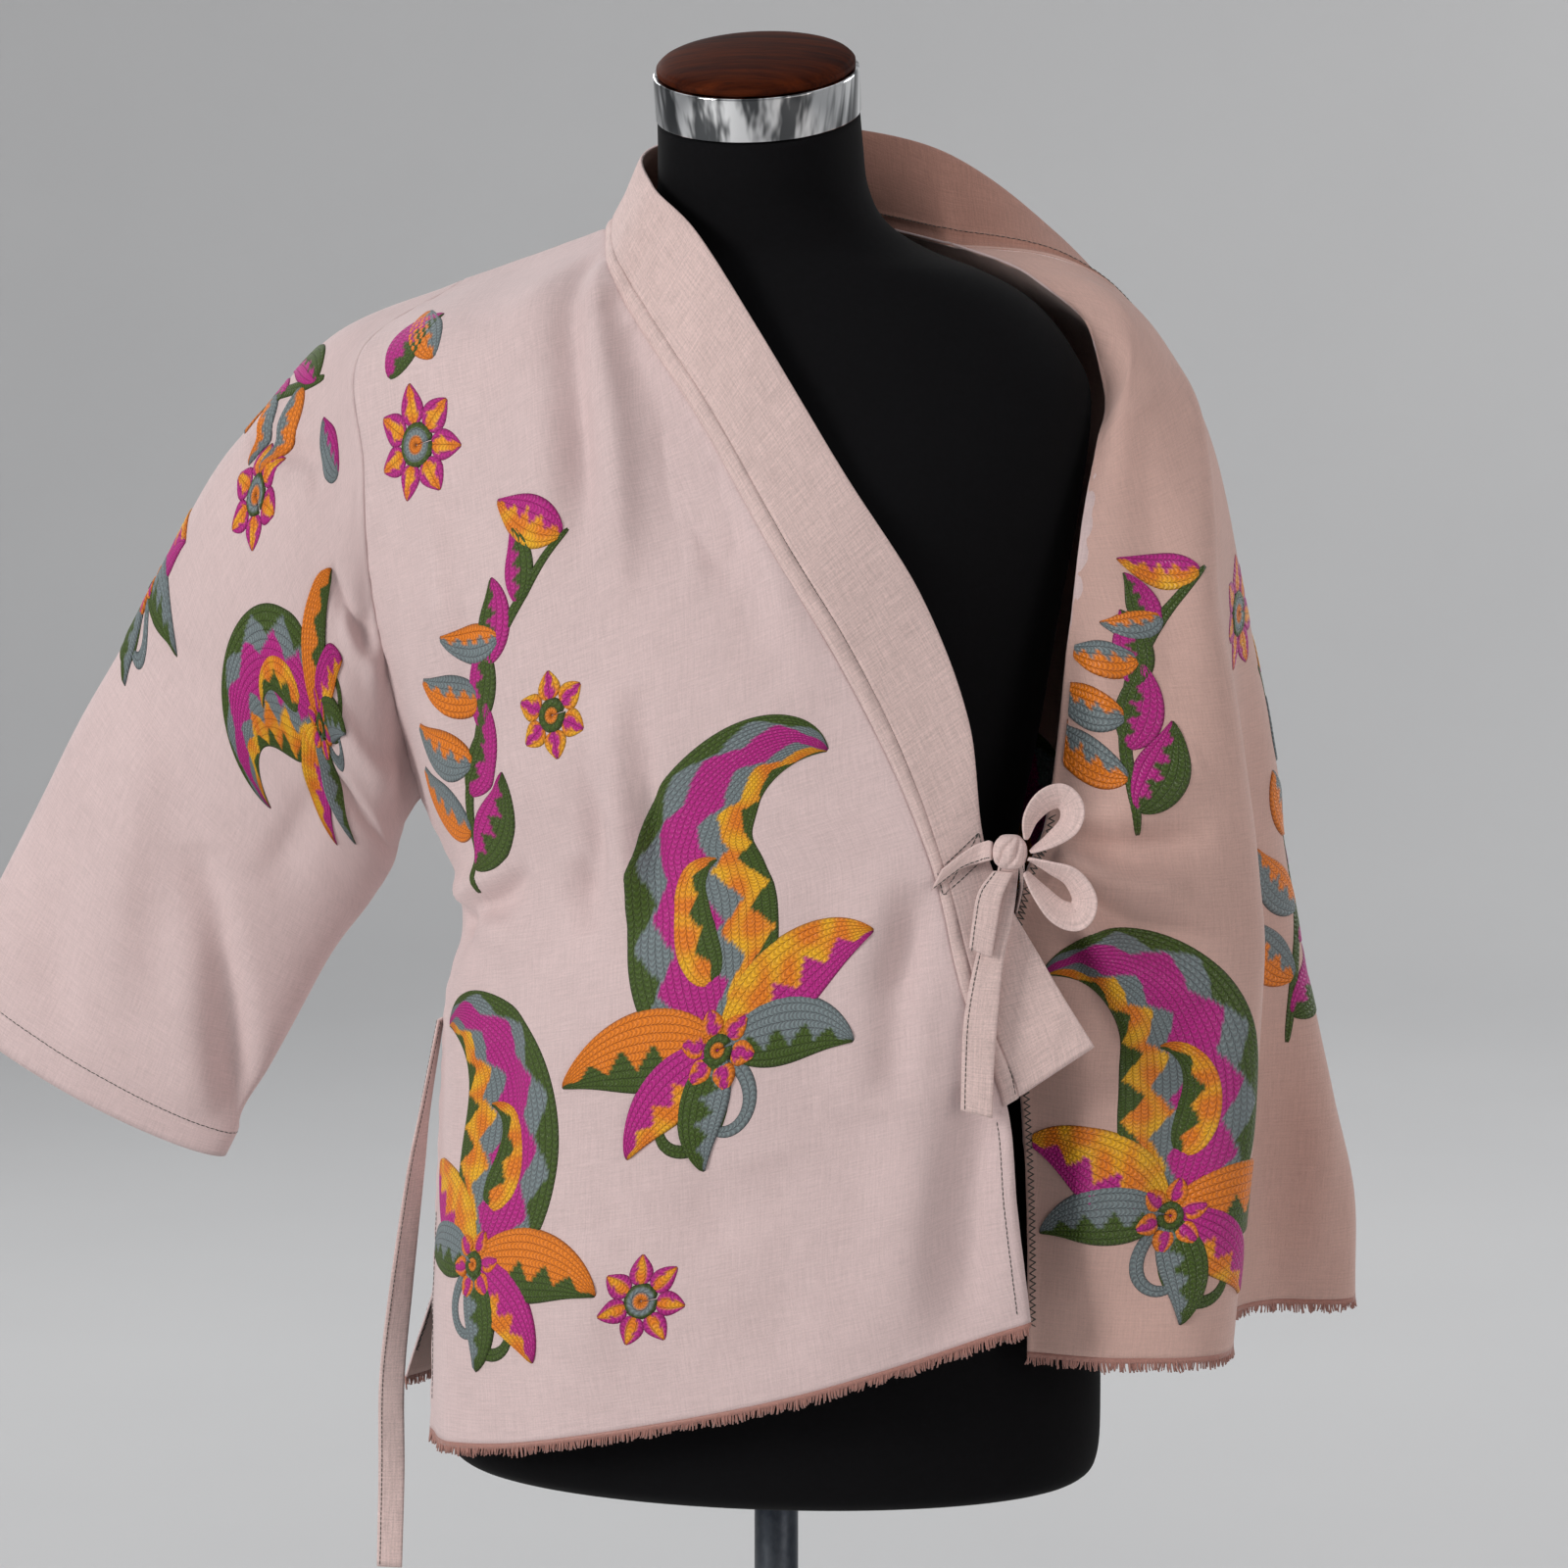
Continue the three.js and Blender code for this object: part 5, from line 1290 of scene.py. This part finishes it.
def dyed(places, s, bands, tooth, bite):
    """Colours in bands whose borders zigzag by bite, each border a third of a tooth after the last.

    Yellow drifts to orange in soft clouds: mix = 0.5 + 0.5 · sin of two crossing waves."""
    colours = np.empty(places.shape[:2] + (3,))
    colours[:] = YARNS[bands[-1][0]]
    for k in range(len(bands) - 2, -1, -1):
        name, upper = bands[k]
        border = upper + bite * saw(tooth + 0.31 * k)
        colours[s[None] < border[:, None]] = YARNS[name]
    x, y = places[..., 0], places[..., 1]
    cloud = 0.5 + 0.5 * np.sin(x / 5.1 + 1.3 * np.sin(y / 6.7)) * np.sin(y / 5.9 + 1.1 * np.sin(x / 8.3))
    share = np.clip(1.7 * cloud - 0.35, 0, 1)[..., None]
    yellow = np.abs(colours - YARNS["yellow"]).sum(axis=2, keepdims=True) < 1e-6
    return np.where(yellow, (1 - share) * YARNS["yellow"] + share * np.array(YARNS["orange"]), colours)


def disc(radius, bands, layer):
    """A round patch of rings: s from -1 at the middle to 1 at the rim."""
    a = np.linspace(0, 2 * math.pi, max(int(2 * math.pi * radius / STEP), 16))
    out = np.stack([np.cos(a), np.sin(a)], 1)
    s = np.linspace(-0.98, 1, stitch_rows(radius) * ROW_COLUMNS + 1)
    places = 0.5 * radius * out[:, None] + s[None, :, None] * 0.5 * radius * out[:, None]
    return places, dyed(places, s, bands, 0 * a, 0), layer


def turned(parts, angle, at=(0, 0), mirror=False, layer=0):
    """Patches mirrored, turned by an angle in degrees, moved and raised by layers."""
    a = math.radians(angle)
    m = np.array([[math.cos(a), math.sin(a)], [-math.sin(a), math.cos(a)]])
    flip = np.array([-1.0 if mirror else 1.0, 1.0])
    return [((places * flip) @ m + np.array(at), colours, own + layer) for places, colours, own in parts]


def leaf(long, half, first, second, curl, layer=0):
    """A pointed leaf in two colours that meet in a zigzag off its middle."""
    return [patch(spine(long, curl), half, 0.8, [(first, -0.15), (second, 1.0)], 5, 0.3, layer)]


def flower(petals, radius, first="magenta", second="yellow", centre="slate"):
    """Round petals, each with a heart of a second colour, about a ringed centre."""
    parts = []
    for k in range(petals):
        petal = patch(spine(0.66 * radius, 0.12, 0, 0.3 * radius), 1.9 * radius / petals, 0.72,
                      [(first, -0.45), (second, 0.4), (first, 1.0)], 2, 0.12)
        parts += turned([petal], 360 * k / petals)
    return parts + [disc(0.38 * radius, [("orange", -0.1), (centre, 0.55), ("olive", 1.0)], 2)]


def bearing(step):
    """Degrees from upwards, turning to the right."""
    return 90 - math.degrees(math.atan2(step[1], step[0]))


def spray(long, curl, leaves, size):
    """A bending stem with leaves on both sides in turn, larger at its foot, and a bud at its tip."""
    line = spine(long, curl, 0.25)
    parts = [patch(line, 4.2, 0.9, [("olive", 1.0)], full=0.3)]
    for k in range(leaves):
        at = int((0.08 + 0.8 * k / leaves) * (len(line) - 1))
        left = k % 2 == 0
        grown = size * (1 - 0.4 * k / leaves)
        part = leaf(grown, 0.25 * grown, SPRAY_YARNS[k % 4], SPRAY_YARNS[(k + 2) % 4], 0.7, 1 + k % 2)
        parts += turned(part, bearing(line[at + 1] - line[at]) + (-56 if left else 56), line[at], left)
    bud = leaf(0.8 * size, 0.2 * size, "magenta", "yellow", 0.2, 1)
    return parts + turned(bud, bearing(line[-1] - line[-2]), line[-3])


def tendril(long, curl, colour="olive"):
    """A thin stem that curls up, in one colour."""
    return [patch(spine(long, curl), 4.4, 0.7, [(colour, 1.0)], full=0.45)]


def paisley(long, half, curl):
    """A curling drop of zigzag bands, with a small two-coloured drop laid over its belly."""
    bands = [("olive", -0.8), ("yellow", -0.42), ("slate", -0.16), ("magenta", 0.5), ("slate", 0.74),
             ("olive", 1.0)]
    outer = patch(spine(long, curl), half, 0.55, bands, 6, 0.16)
    inner = patch(spine(0.38 * long, 0.9 * curl), 0.3 * half, 0.55, [("olive", -0.1), ("yellow", 1.0)],
                  4, 0.3, 1)
    return [outer, *turned([inner], 14, (0.12 * half, 0.16 * long))]


def medallion(size, mirror=False):
    """The large figure: a paisley on a fan of broad leaves, a flower beside its foot and two tendrils."""
    parts = paisley(2.1 * size, 0.46 * size, 2.5)
    for k, (angle, long, wide, first, second, flip) in enumerate((
            (-64, 1.0, 0.23, "magenta", "yellow", False), (-98, 0.8, 0.18, "olive", "slate", False),
            (66, 1.02, 0.23, "olive", "orange", True), (104, 0.78, 0.18, "yellow", "magenta", True),
            (142, 0.66, 0.15, "slate", "olive", True))):
        parts += turned(leaf(long * size, wide * size, first, second, 0.8, 1.4 + 0.6 * k), angle,
                        (0.02 * size, -0.02 * size), flip)
    parts += turned(tendril(size, 4.8), 176, (0, -0.04 * size))
    parts += turned(tendril(0.8 * size, 4.4, "slate"), -140, (-0.02 * size, 0))
    parts += turned(flower(6, 0.24 * size, "orange", "magenta", "olive"), 0, (0, -0.02 * size), layer=4.4)
    return turned(parts, 0, mirror=mirror)


def embroidery_plan():
    """For each panel and sleeve: motif, its u and v on the cloth in millimetres, angle in degrees."""
    return {
        "front_right": [
            (spray(215, 1.0, 9, 66), -66, 402, -4),
            (flower(7, 34), -50, 150, 0),
            (leaf(52, 14, "olive", "magenta", 0.6), -66, 112, -34),
            (leaf(46, 13, "slate", "orange", 0.6), -30, 108, 30),
            (medallion(98), 104, 512, 12),
            (flower(6, 25, "yellow", "magenta", "olive"), 22, 318, 0),
            (medallion(92, True), -52, 612, -22),
            (flower(7, 27), 60, 640, 0),
        ],
        "front_left": [
            (medallion(96, True), -44, 548, -12),
            (spray(170, 1.2, 8, 58), -66, 340, 6),
            (spray(215, -1.0, 9, 60), 140, 480, -6),
            (flower(7, 32), 96, 242, 0),
            (flower(6, 26, "yellow", "magenta", "olive"), 86, 580, 0),
        ],
        "back": [
            (medallion(110), -96, 300, 16),
            (medallion(104, True), 122, 470, -24),
            (spray(250, 1.2, 10, 64), -140, 612, 22),
            (flower(8, 40), 90, 160, 0),
            (spray(180, -1.2, 8, 54), 30, 620, -46),
            (flower(6, 30, "orange", "magenta", "olive"), -4, 400, 0),
        ],
        "sleeve_right": [
            (medallion(82, True), 196, 150, 118),
            (flower(6, 28), 62, 150, 0),
            (spray(120, 1.2, 6, 50), 40, 84, 160),
            (leaf(50, 14, "magenta", "slate", 0.6), 108, 60, 130),
            (medallion(80), 500, 260, 20),
        ],
        "sleeve_left": [
            (spray(180, 1.1, 8, 56), 60, 310, 0),
            (flower(7, 34), 470, 150, 0),
            (spray(150, -1.1, 7, 52), 420, 340, 10),
        ],
    }


def clear_of_edges(cloth, u, v):
    """Cloth coordinates kept in from the edges of a panel, or carried round a sleeve."""
    v = np.clip(v, EDGE_MARGIN, cloth.v[-1] - EDGE_MARGIN)
    order = np.arange(len(cloth.v))
    r = np.interp(v, cloth.v, order)
    first, last = (np.interp(r, order, cloth.u[:, k]) for k in (0, -1))
    if cloth.closed:
        return np.mod(u, last), v
    return np.clip(u, first + EDGE_MARGIN, last - EDGE_MARGIN), v


def worked(name, cloth, motifs, face, finish, high):
    """Patches of chain stitch on one face of a cloth, each a closed low relief that stands on the cloth.

    Height above the cloth = high · crest + the rise of its layer, with crest 0.72 between two rows and 1 on
    them; the rim goes a little into the cloth, and a flat underside lies just below it."""
    verts, faces, uvs, tints = [], [], [], []
    count = 0
    half = 0.5 * sizes().cloth_wall
    for parts, u0, v0, angle in motifs:
        for places, colours, layer in turned(parts, angle):
            n, m = places.shape[:2]
            u, v = clear_of_edges(cloth, (u0 + places[..., 0]) * MM, (v0 - places[..., 1]) * MM)
            at, out = cloth.on(u.ravel(), v.ravel())
            at, out = at.reshape(n, m, 3), face * out.reshape(n, m, 3)
            crest = np.where(np.arange(m) % ROW_COLUMNS == 0, 0.72, 1.0)
            rise = np.broadcast_to((crest * high + LAYER_RISE * layer)[None], (n, m)).copy()
            # painted shade: the yarn colour darkened at a patch's rim, and less so one column in
            edge = np.ones((n, m))
            for grid, rim in ((rise, SUNK), (edge, RIM_SHADE)):
                grid[:, [0, -1]] = rim
                grid[[0, -1]] = rim
            edge[:, [1, -2]] *= 0.8
            top = at + (half + rise * MM)[..., None] * out
            under = at + (half + 1.6 * SUNK * MM) * out
            verts += [top.reshape(-1, 3), under.reshape(-1, 3)]
            tints += [(colours * edge[..., None]).reshape(-1, 3)] * 2
            run = lengths(places, 0).mean(axis=1)
            r, c = grid_faces(n, m, False)
            quads = r * m + c
            grid = np.arange(n * m).reshape(n, m)
            rim = np.concatenate([grid[:-1, 0], grid[-1, :-1], grid[:0:-1, -1], grid[0, :0:-1]])
            after = np.roll(rim, -1)
            wall = np.stack([rim, after, after + n * m, rim + n * m], 1)
            body = np.concatenate([quads, wall, quads[:, ::-1] + n * m])
            uv = np.concatenate([np.stack([run[r], c / ROW_COLUMNS], 2) * MM,
                                 np.zeros((len(wall) + len(quads), 4, 2))])
            p = verts[-2][quads]
            way = np.einsum("ij,ij->i", np.cross(p[:, 1] - p[:, 0], p[:, 2] - p[:, 0]),
                            out.reshape(-1, 3)[quads[:, 0]]).sum()
            if way < 0:
                body, uv = body[:, ::-1], uv[:, ::-1]
            faces.append(body + count)
            uvs.append(uv.reshape(-1, 2))
            count += 2 * n * m
    return put(name, np.concatenate(verts), np.concatenate(faces), [finish], "jacket_cloth",
               np.concatenate(uvs), colours=np.concatenate(tints))


def make_embroidery():
    """The motifs on the right side, and on the wrong side those that show in the opening."""
    c, f = cloths(), paints()
    for name, motifs in embroidery_plan().items():
        worked(name + "_embroidery", c[name], motifs, 1, f["embroidery"], RELIEF)
        if name in INSIDE_SHOWN:
            shown = [motifs[k] for k in INSIDE_SHOWN[name]]
            worked(name + "_embroidery_inside", c[name], shown, -1, f["embroidery back"], RELIEF_INSIDE)


# ---------------------------------------------------------------- sewing
STITCH_PITCH = 2.9 * MM
FRONT_HEM, SLIT_HEM, CUFF_HEM, OVERLOCK = 7 * MM, 11 * MM, 20 * MM, 3 * MM  # from the edge to the stitches


def between(cloth, column, first_row, last_row, inset=0.0):
    """u and v of a line down a cloth's rows, at a grid column and an inset from it."""
    rows = np.arange(first_row, last_row + 1)
    return cloth.u[rows, column] + inset, cloth.v[rows]


def ring_line(cloth, below):
    """u and v of a line round a sleeve, above its cuff edge by the given distance."""
    v = cloth.v[-1] - below
    row = int(np.interp(v, cloth.v, np.arange(len(cloth.v))))
    u = np.linspace(0, cloth.u[row, -1] * 0.998, 200)
    return u, np.full(200, v)


def straight(*corners):
    """u and v of a line through corners given in millimetres."""
    points = MM * np.array(corners, float)
    t = np.linspace(0, len(points) - 1, 24 * (len(points) - 1) + 1)
    k = np.arange(len(points))
    return np.interp(t, k, points[:, 0]), np.interp(t, k, points[:, 1])


def make_stitching():
    """Sewn lines: band ditch, band end and tie box, cuffs, front edge, slit corners and overlocked edges."""
    c = cloths()
    band, right, left, back = c["collar_band"], c["front_right"], c["front_left"], c["back"]
    hem = len(right.v) - 1
    slit = SLIT_ROW * ROW_STEPS
    lines = []

    def line(cloth, path, face=1, zigzag=0.15 * MM, pitch=STITCH_PITCH, shown=0.86):
        """Adds a line of stitches; a running stitch unless the last three say otherwise."""
        wall = sizes().band_wall if cloth is band else sizes().cloth_wall
        lines.append((cloth, *path, face, wall, pitch, shown, zigzag))

    ditch = BAND_ACROSS.tolist().index(BAND_DITCH)
    for face in (1, -1):
        line(band, between(band, ditch, 0, len(band.v) - 1), face)
    for corners in (((7.5, 1.2), (8, 9), (9, 22)), ((2, 132), (31, 141), (30, 129), (1.5, 119), (2, 132)),
                    ((2, 132), (30, 129)), ((1.5, 119), (31, 141))):
        line(band, straight(*corners), zigzag=0)
    for front in (right, left):
        line(front, between(front, -1, BAND_END_ROW * ROW_STEPS + 2, hem - 2, -FRONT_HEM))
    for cloth, column in ((right, 0), (back, 0), (back, -1), (left, 0)):
        line(cloth, between(cloth, column, slit + 4, hem - 4, inwards(column) * SLIT_HEM))
    for sleeve in (c["sleeve_right"], c["sleeve_left"]):
        for face in (1, -1):
            line(sleeve, ring_line(sleeve, CUFF_HEM), face)
    for cloth, column in ((back, 0), (right, 0), (left, 0), (back, -1)):
        for face in ((-1, 1) if cloth is back and column == 0 else (-1,)):
            first = 4 if cloth is back else UNDERARM_ROW * ROW_STEPS
            start = slit + 2 if face > 0 else first
            for swing in (2.0, 1.4):
                line(cloth, between(cloth, column, start, hem - 4, inwards(column) * OVERLOCK), face,
                     swing * MM, 1.9 * MM, 1.0)
    verts, tris = sew(lines, sizes().thread)
    put("jacket_stitching", verts, tris, [paints()["seam thread"]], "fringe_thread")


def inwards(column):
    """The way from a panel's first or last column into the panel."""
    return 1 if column == 0 else -1


def make_tie_stitching():
    """A sewn line beside one edge of each tie, on both faces."""
    shape, faces = bead()
    parts = []
    for table in TIES.values():
        near, far = tie(table)
        line = near + 0.14 * (far - near)
        out = np.cross((far - near) / 2, np.gradient((near + far) / 2, axis=0))
        out /= np.linalg.norm(out, axis=1, keepdims=True)
        for face in (1, -1):
            at, way = spread(line + face * 0.5 * sizes().tie_wall * out, STITCH_PITCH)
            run = lengths(line[:, None], 0)[:, 0]
            s = (np.arange(len(at)) + 0.5) * STITCH_PITCH
            normal = face * np.stack([np.interp(s, run, out[:, k]) for k in range(3)], 1)
            size = np.broadcast_to(MM * np.array([1.2, 0.3, 0.3]), (len(at), 3))
            parts.append(copies(shape, faces, at, way, normal, size))
    put("tie_stitching", *joined(parts), [paints()["seam thread"]], "fringe_thread")


# ---------------------------------------------------------------- what each cloth was cut to
def cut_size(cloth):
    """(width, length) of the flat cut in metres, and its area: the sum of the grid's cells."""
    p = cloth.points
    if cloth.closed:
        p = np.concatenate([p, p[:, :1]], axis=1)
    first = p[1:, 1:] - p[:-1, :-1]
    second = p[1:, :-1] - p[:-1, 1:]
    area = 0.5 * np.linalg.norm(np.cross(first, second), axis=2).sum()
    width = (cloth.u[:, -1] - cloth.u[:, 0]).max()
    return float(width), float(cloth.v[-1]), float(area)


def declare_cloths():
    """Says which pieces are sheets of cloth, what they hang from and what is sewn on them."""
    c = cloths()
    pieces = bpy.data.objects
    sewn = {"front_right": ["fringe_right_threads", "front_right_embroidery"],
            "front_left": ["fringe_left_threads", "front_left_embroidery", "front_left_embroidery_inside"],
            "back": ["fringe_back_threads", "back_embroidery", "back_embroidery_inside"],
            "sleeve_right": ["sleeve_right_embroidery"], "sleeve_left": ["sleeve_left_embroidery"],
            "collar_band": []}
    for name, extra in sewn.items():
        width, length, area = cut_size(c[name])
        pieces[name + "_cloth"]
    for name, (near, far) in strips().items():
        width = float(np.linalg.norm(far - near, axis=1).mean())
        length = float(lengths(((near + far) / 2)[:, None], 0)[-1, 0])
        pieces[name + "_cloth"]


# ---------------------------------------------------------------- stage
CAMERA_YAW = math.radians(10)
CAMERA_PITCH = math.radians(7)
CAMERA_DISTANCE = 3.0
CAMERA_TARGET = np.array([4.3, 0.8, 1080]) * MM
SENSOR = 36
CAMERA_LENS = SENSOR * 5454.5 / 1600
WALL_RADIUS, WALL_BEND, WALL_HEIGHT = 8.0, 2.2, 7.5
FLOOR_DROP = 0.0002
WORLD_LIGHT = 0.55
# place, point aimed at, size in metres, watts, tint
LAMPS = [
    ((-3.0, -3.0, 2.3), (0, 0, 1.05), (1.4, 1.6), 114, (1.0, 0.985, 0.965)),
    ((3.2, -2.4, 1.5), (0, 0, 1.0), (2.0, 2.4), 34, (1.0, 0.92, 0.87)),
    ((-2.6, 3.2, 3.2), (0, 0, 1.1), (2.0, 2.0), 60, (1.0, 1.0, 1.0)),
    ((3.2, 2.8, 2.6), (0, 0, 1.0), (2.0, 2.0), 34, (1.0, 1.0, 1.0)),
    ((1.6, 3.4, 4.6), (2.2, 8.0, 2.0), (3.0, 1.4), 125, (1.0, 1.0, 1.0)),
]


def make_stage():
    """A round studio: a pale floor disc that curves up into a wall all round, soft lights, and the camera."""
    t = np.linspace(0, math.pi / 2, 20)
    radius = np.concatenate([[0.4, 2.0], WALL_RADIUS - WALL_BEND + WALL_BEND * np.sin(t), [WALL_RADIUS]])
    z = np.concatenate([[0, 0], WALL_BEND - WALL_BEND * np.cos(t), [WALL_HEIGHT]]) - FLOOR_DROP
    sides = 96
    a = 2 * math.pi * np.arange(sides) / sides
    verts = np.stack([radius[:, None] * np.cos(a), radius[:, None] * np.sin(a),
                      np.repeat(z[:, None], sides, 1)], 2).reshape(-1, 3)
    r, c = grid_faces(len(radius), sides, True, False)
    faces = (r * sides + c % sides).tolist() + [list(range(sides))]
    mesh = bpy.data.meshes.new("backdrop")
    mesh.from_pydata(verts.tolist(), [], faces)
    mesh.polygons.foreach_set("use_smooth", np.full(len(faces), True))
    wall = Finish("backdrop")
    plaster = wall.noise(wall.object_place(), 1.2, 3.0)
    mesh.materials.append(wall.shade(Base_Color=wall.mix(plaster, (0.52, 0.52, 0.525), (0.57, 0.57, 0.57)),
                                     Roughness=0.92 + plaster * 0.05))
    backdrop = bpy.data.objects.new("backdrop", mesh)
    bpy.context.scene.collection.objects.link(backdrop)

    for place, aim, size, power, tint in LAMPS:
        light = bpy.data.lights.new("soft_light", "AREA")
        light.shape = "RECTANGLE"
        light.size, light.size_y = size
        light.energy = power
        light.color = tint
        holder = bpy.data.objects.new("soft_light", light)
        holder.matrix_world = looking(np.array(place), np.array(place) - np.array(aim))
        holder.visible_camera = False
        bpy.context.scene.collection.objects.link(holder)
    world = bpy.data.worlds.new("studio")
    world.use_nodes = True
    sky = world.node_tree.nodes["Background"].inputs
    sky[0].default_value = (0.90, 0.92, 0.95, 1)
    sky[1].default_value = WORLD_LIGHT
    bpy.context.scene.world = world
    bpy.context.scene.view_settings.view_transform = "Standard"

    cy, sy = math.cos(CAMERA_YAW), math.sin(CAMERA_YAW)
    cp, sp = math.cos(CAMERA_PITCH), math.sin(CAMERA_PITCH)
    back = np.array([sy * cp, -cy * cp, sp])
    camera = bpy.data.cameras.new("camera")
    camera.lens = CAMERA_LENS
    camera.sensor_width = SENSOR
    camera.clip_end = 50
    holder = bpy.data.objects.new("camera", camera)
    holder.matrix_world = looking(CAMERA_TARGET + CAMERA_DISTANCE * back, back)
    bpy.context.scene.collection.objects.link(holder)
    bpy.context.scene.camera = holder


def looking(place, back):
    """A matrix at place whose Z axis points along back and whose X axis is level."""
    z = back / np.linalg.norm(back)
    x = np.cross([0, 0, 1.0], z)
    x /= np.linalg.norm(x)
    y = np.cross(z, x)
    m = np.eye(4)
    m[:3, 0], m[:3, 1], m[:3, 2], m[:3, 3] = x, y, z, place
    return Matrix(m.tolist())


# ---------------------------------------------------------------- add-on
class JacketSizes(PropertyGroup):
    cloth_wall: FloatProperty(name="Cloth wall", description="Thickness of the panels and sleeves",
                              default=0.0012, min=0.0004, max=0.003, unit="LENGTH")
    band_wall: FloatProperty(name="Band wall", description="Thickness of the folded collar band",
                             default=0.0026, min=0.001, max=0.004, unit="LENGTH")
    tie_wall: FloatProperty(name="Tie wall", description="Thickness of the folded ties",
                            default=0.0022, min=0.001, max=0.004, unit="LENGTH")
    thread: FloatProperty(name="Thread", description="Thickness of the sewing thread",
                          default=0.00066, min=0.0002, max=0.0015, unit="LENGTH")
    fold_relief: FloatProperty(name="Fold relief",
                               description="Depth of the creases as a factor of their table",
                               default=2.4, min=0, max=3)
    fringe_pitch: FloatProperty(name="Fringe pitch",
                                description="Distance between two strands of the hem fringe",
                                default=0.0008, min=0.0005, max=0.004, unit="LENGTH")
    cloth_colour: FloatVectorProperty(name="Cloth", description="Colour of the panels' right side",
                                      default=(0.79, 0.615, 0.605), size=3, min=0, max=1, subtype="COLOR")
    # the wrong side's own tone with painted shade: darker and browner than the right side
    inside_colour: FloatVectorProperty(name="Cloth inside", description="Colour of the panels' wrong side",
                                       default=(0.72, 0.475, 0.415), size=3, min=0, max=1, subtype="COLOR")
    band_colour: FloatVectorProperty(name="Band", description="Colour of the collar band and ties",
                                     default=(0.85, 0.645, 0.61), size=3, min=0, max=1, subtype="COLOR")
    fringe_colour: FloatVectorProperty(name="Fringe", description="Colour of the hem fringe",
                                       default=(0.50, 0.235, 0.19), size=3, min=0, max=1, subtype="COLOR")


def operator(name, label, text, work):
    """One operator class for a piece or group of pieces."""
    def execute(self, context):
        work()
        return {"FINISHED"}

    return type("JACKET_OT_" + name, (Operator,), {
        "bl_idname": "jacket." + name, "bl_label": label, "__doc__": text, "execute": execute})


OPERATORS = [
    operator("panels", "Panels and sleeves", "Cuts the fronts, back and sleeves as thin shells", make_panels),
    operator("band", "Collar band", "Makes the long collar band", make_band),
    operator("ties", "Ties", "Makes the ties and the loops of the bow", make_ties),
    operator("knot", "Knot", "Makes the knot of the bow", make_knot),
    operator("fringe", "Fringe", "Makes the hem fringe", make_fringe),
    operator("stitching", "Stitching", "Sews the band, cuffs, edges and overlocked seams", make_stitching),
    operator("tie_stitching", "Tie stitching", "Sews the edges of the ties", make_tie_stitching),
    operator("embroidery", "Embroidery", "Works the chain-stitch motifs on panels and sleeves",
             make_embroidery),
    operator("form", "Form", "Makes the dress form", make_form),
    operator("stand", "Stand", "Makes the neck cap, pole and base", make_stand),
    operator("cloth_facts", "Cloth sizes", "Says what each cloth was cut to", declare_cloths),
    operator("stage", "Stage", "Makes the floor, lights and camera", make_stage),
]


class JACKET_PT_panel(Panel):
    """Sizes of the jacket and the steps that make it"""
    bl_label = "Jacket"
    bl_idname = "JACKET_PT_panel"
    bl_space_type = "VIEW_3D"
    bl_region_type = "UI"
    bl_category = "Jacket"

    def draw(self, context):
        sizes = context.scene.jacket_sizes
        for name in sizes.__annotations__:
            self.layout.prop(sizes, name)
        for step in OPERATORS:
            self.layout.operator(step.bl_idname)


CLASSES = [JacketSizes, *OPERATORS, JACKET_PT_panel]


def register():
    for cls in CLASSES:
        bpy.utils.register_class(cls)
    bpy.types.Scene.jacket_sizes = PointerProperty(type=JacketSizes)


def unregister():
    del bpy.types.Scene.jacket_sizes
    for cls in reversed(CLASSES):
        bpy.utils.unregister_class(cls)


def main():
    register()
    for step in OPERATORS:
        getattr(bpy.ops.jacket, step.bl_idname.split(".")[1])()


if __name__ == "__main__":
    main()
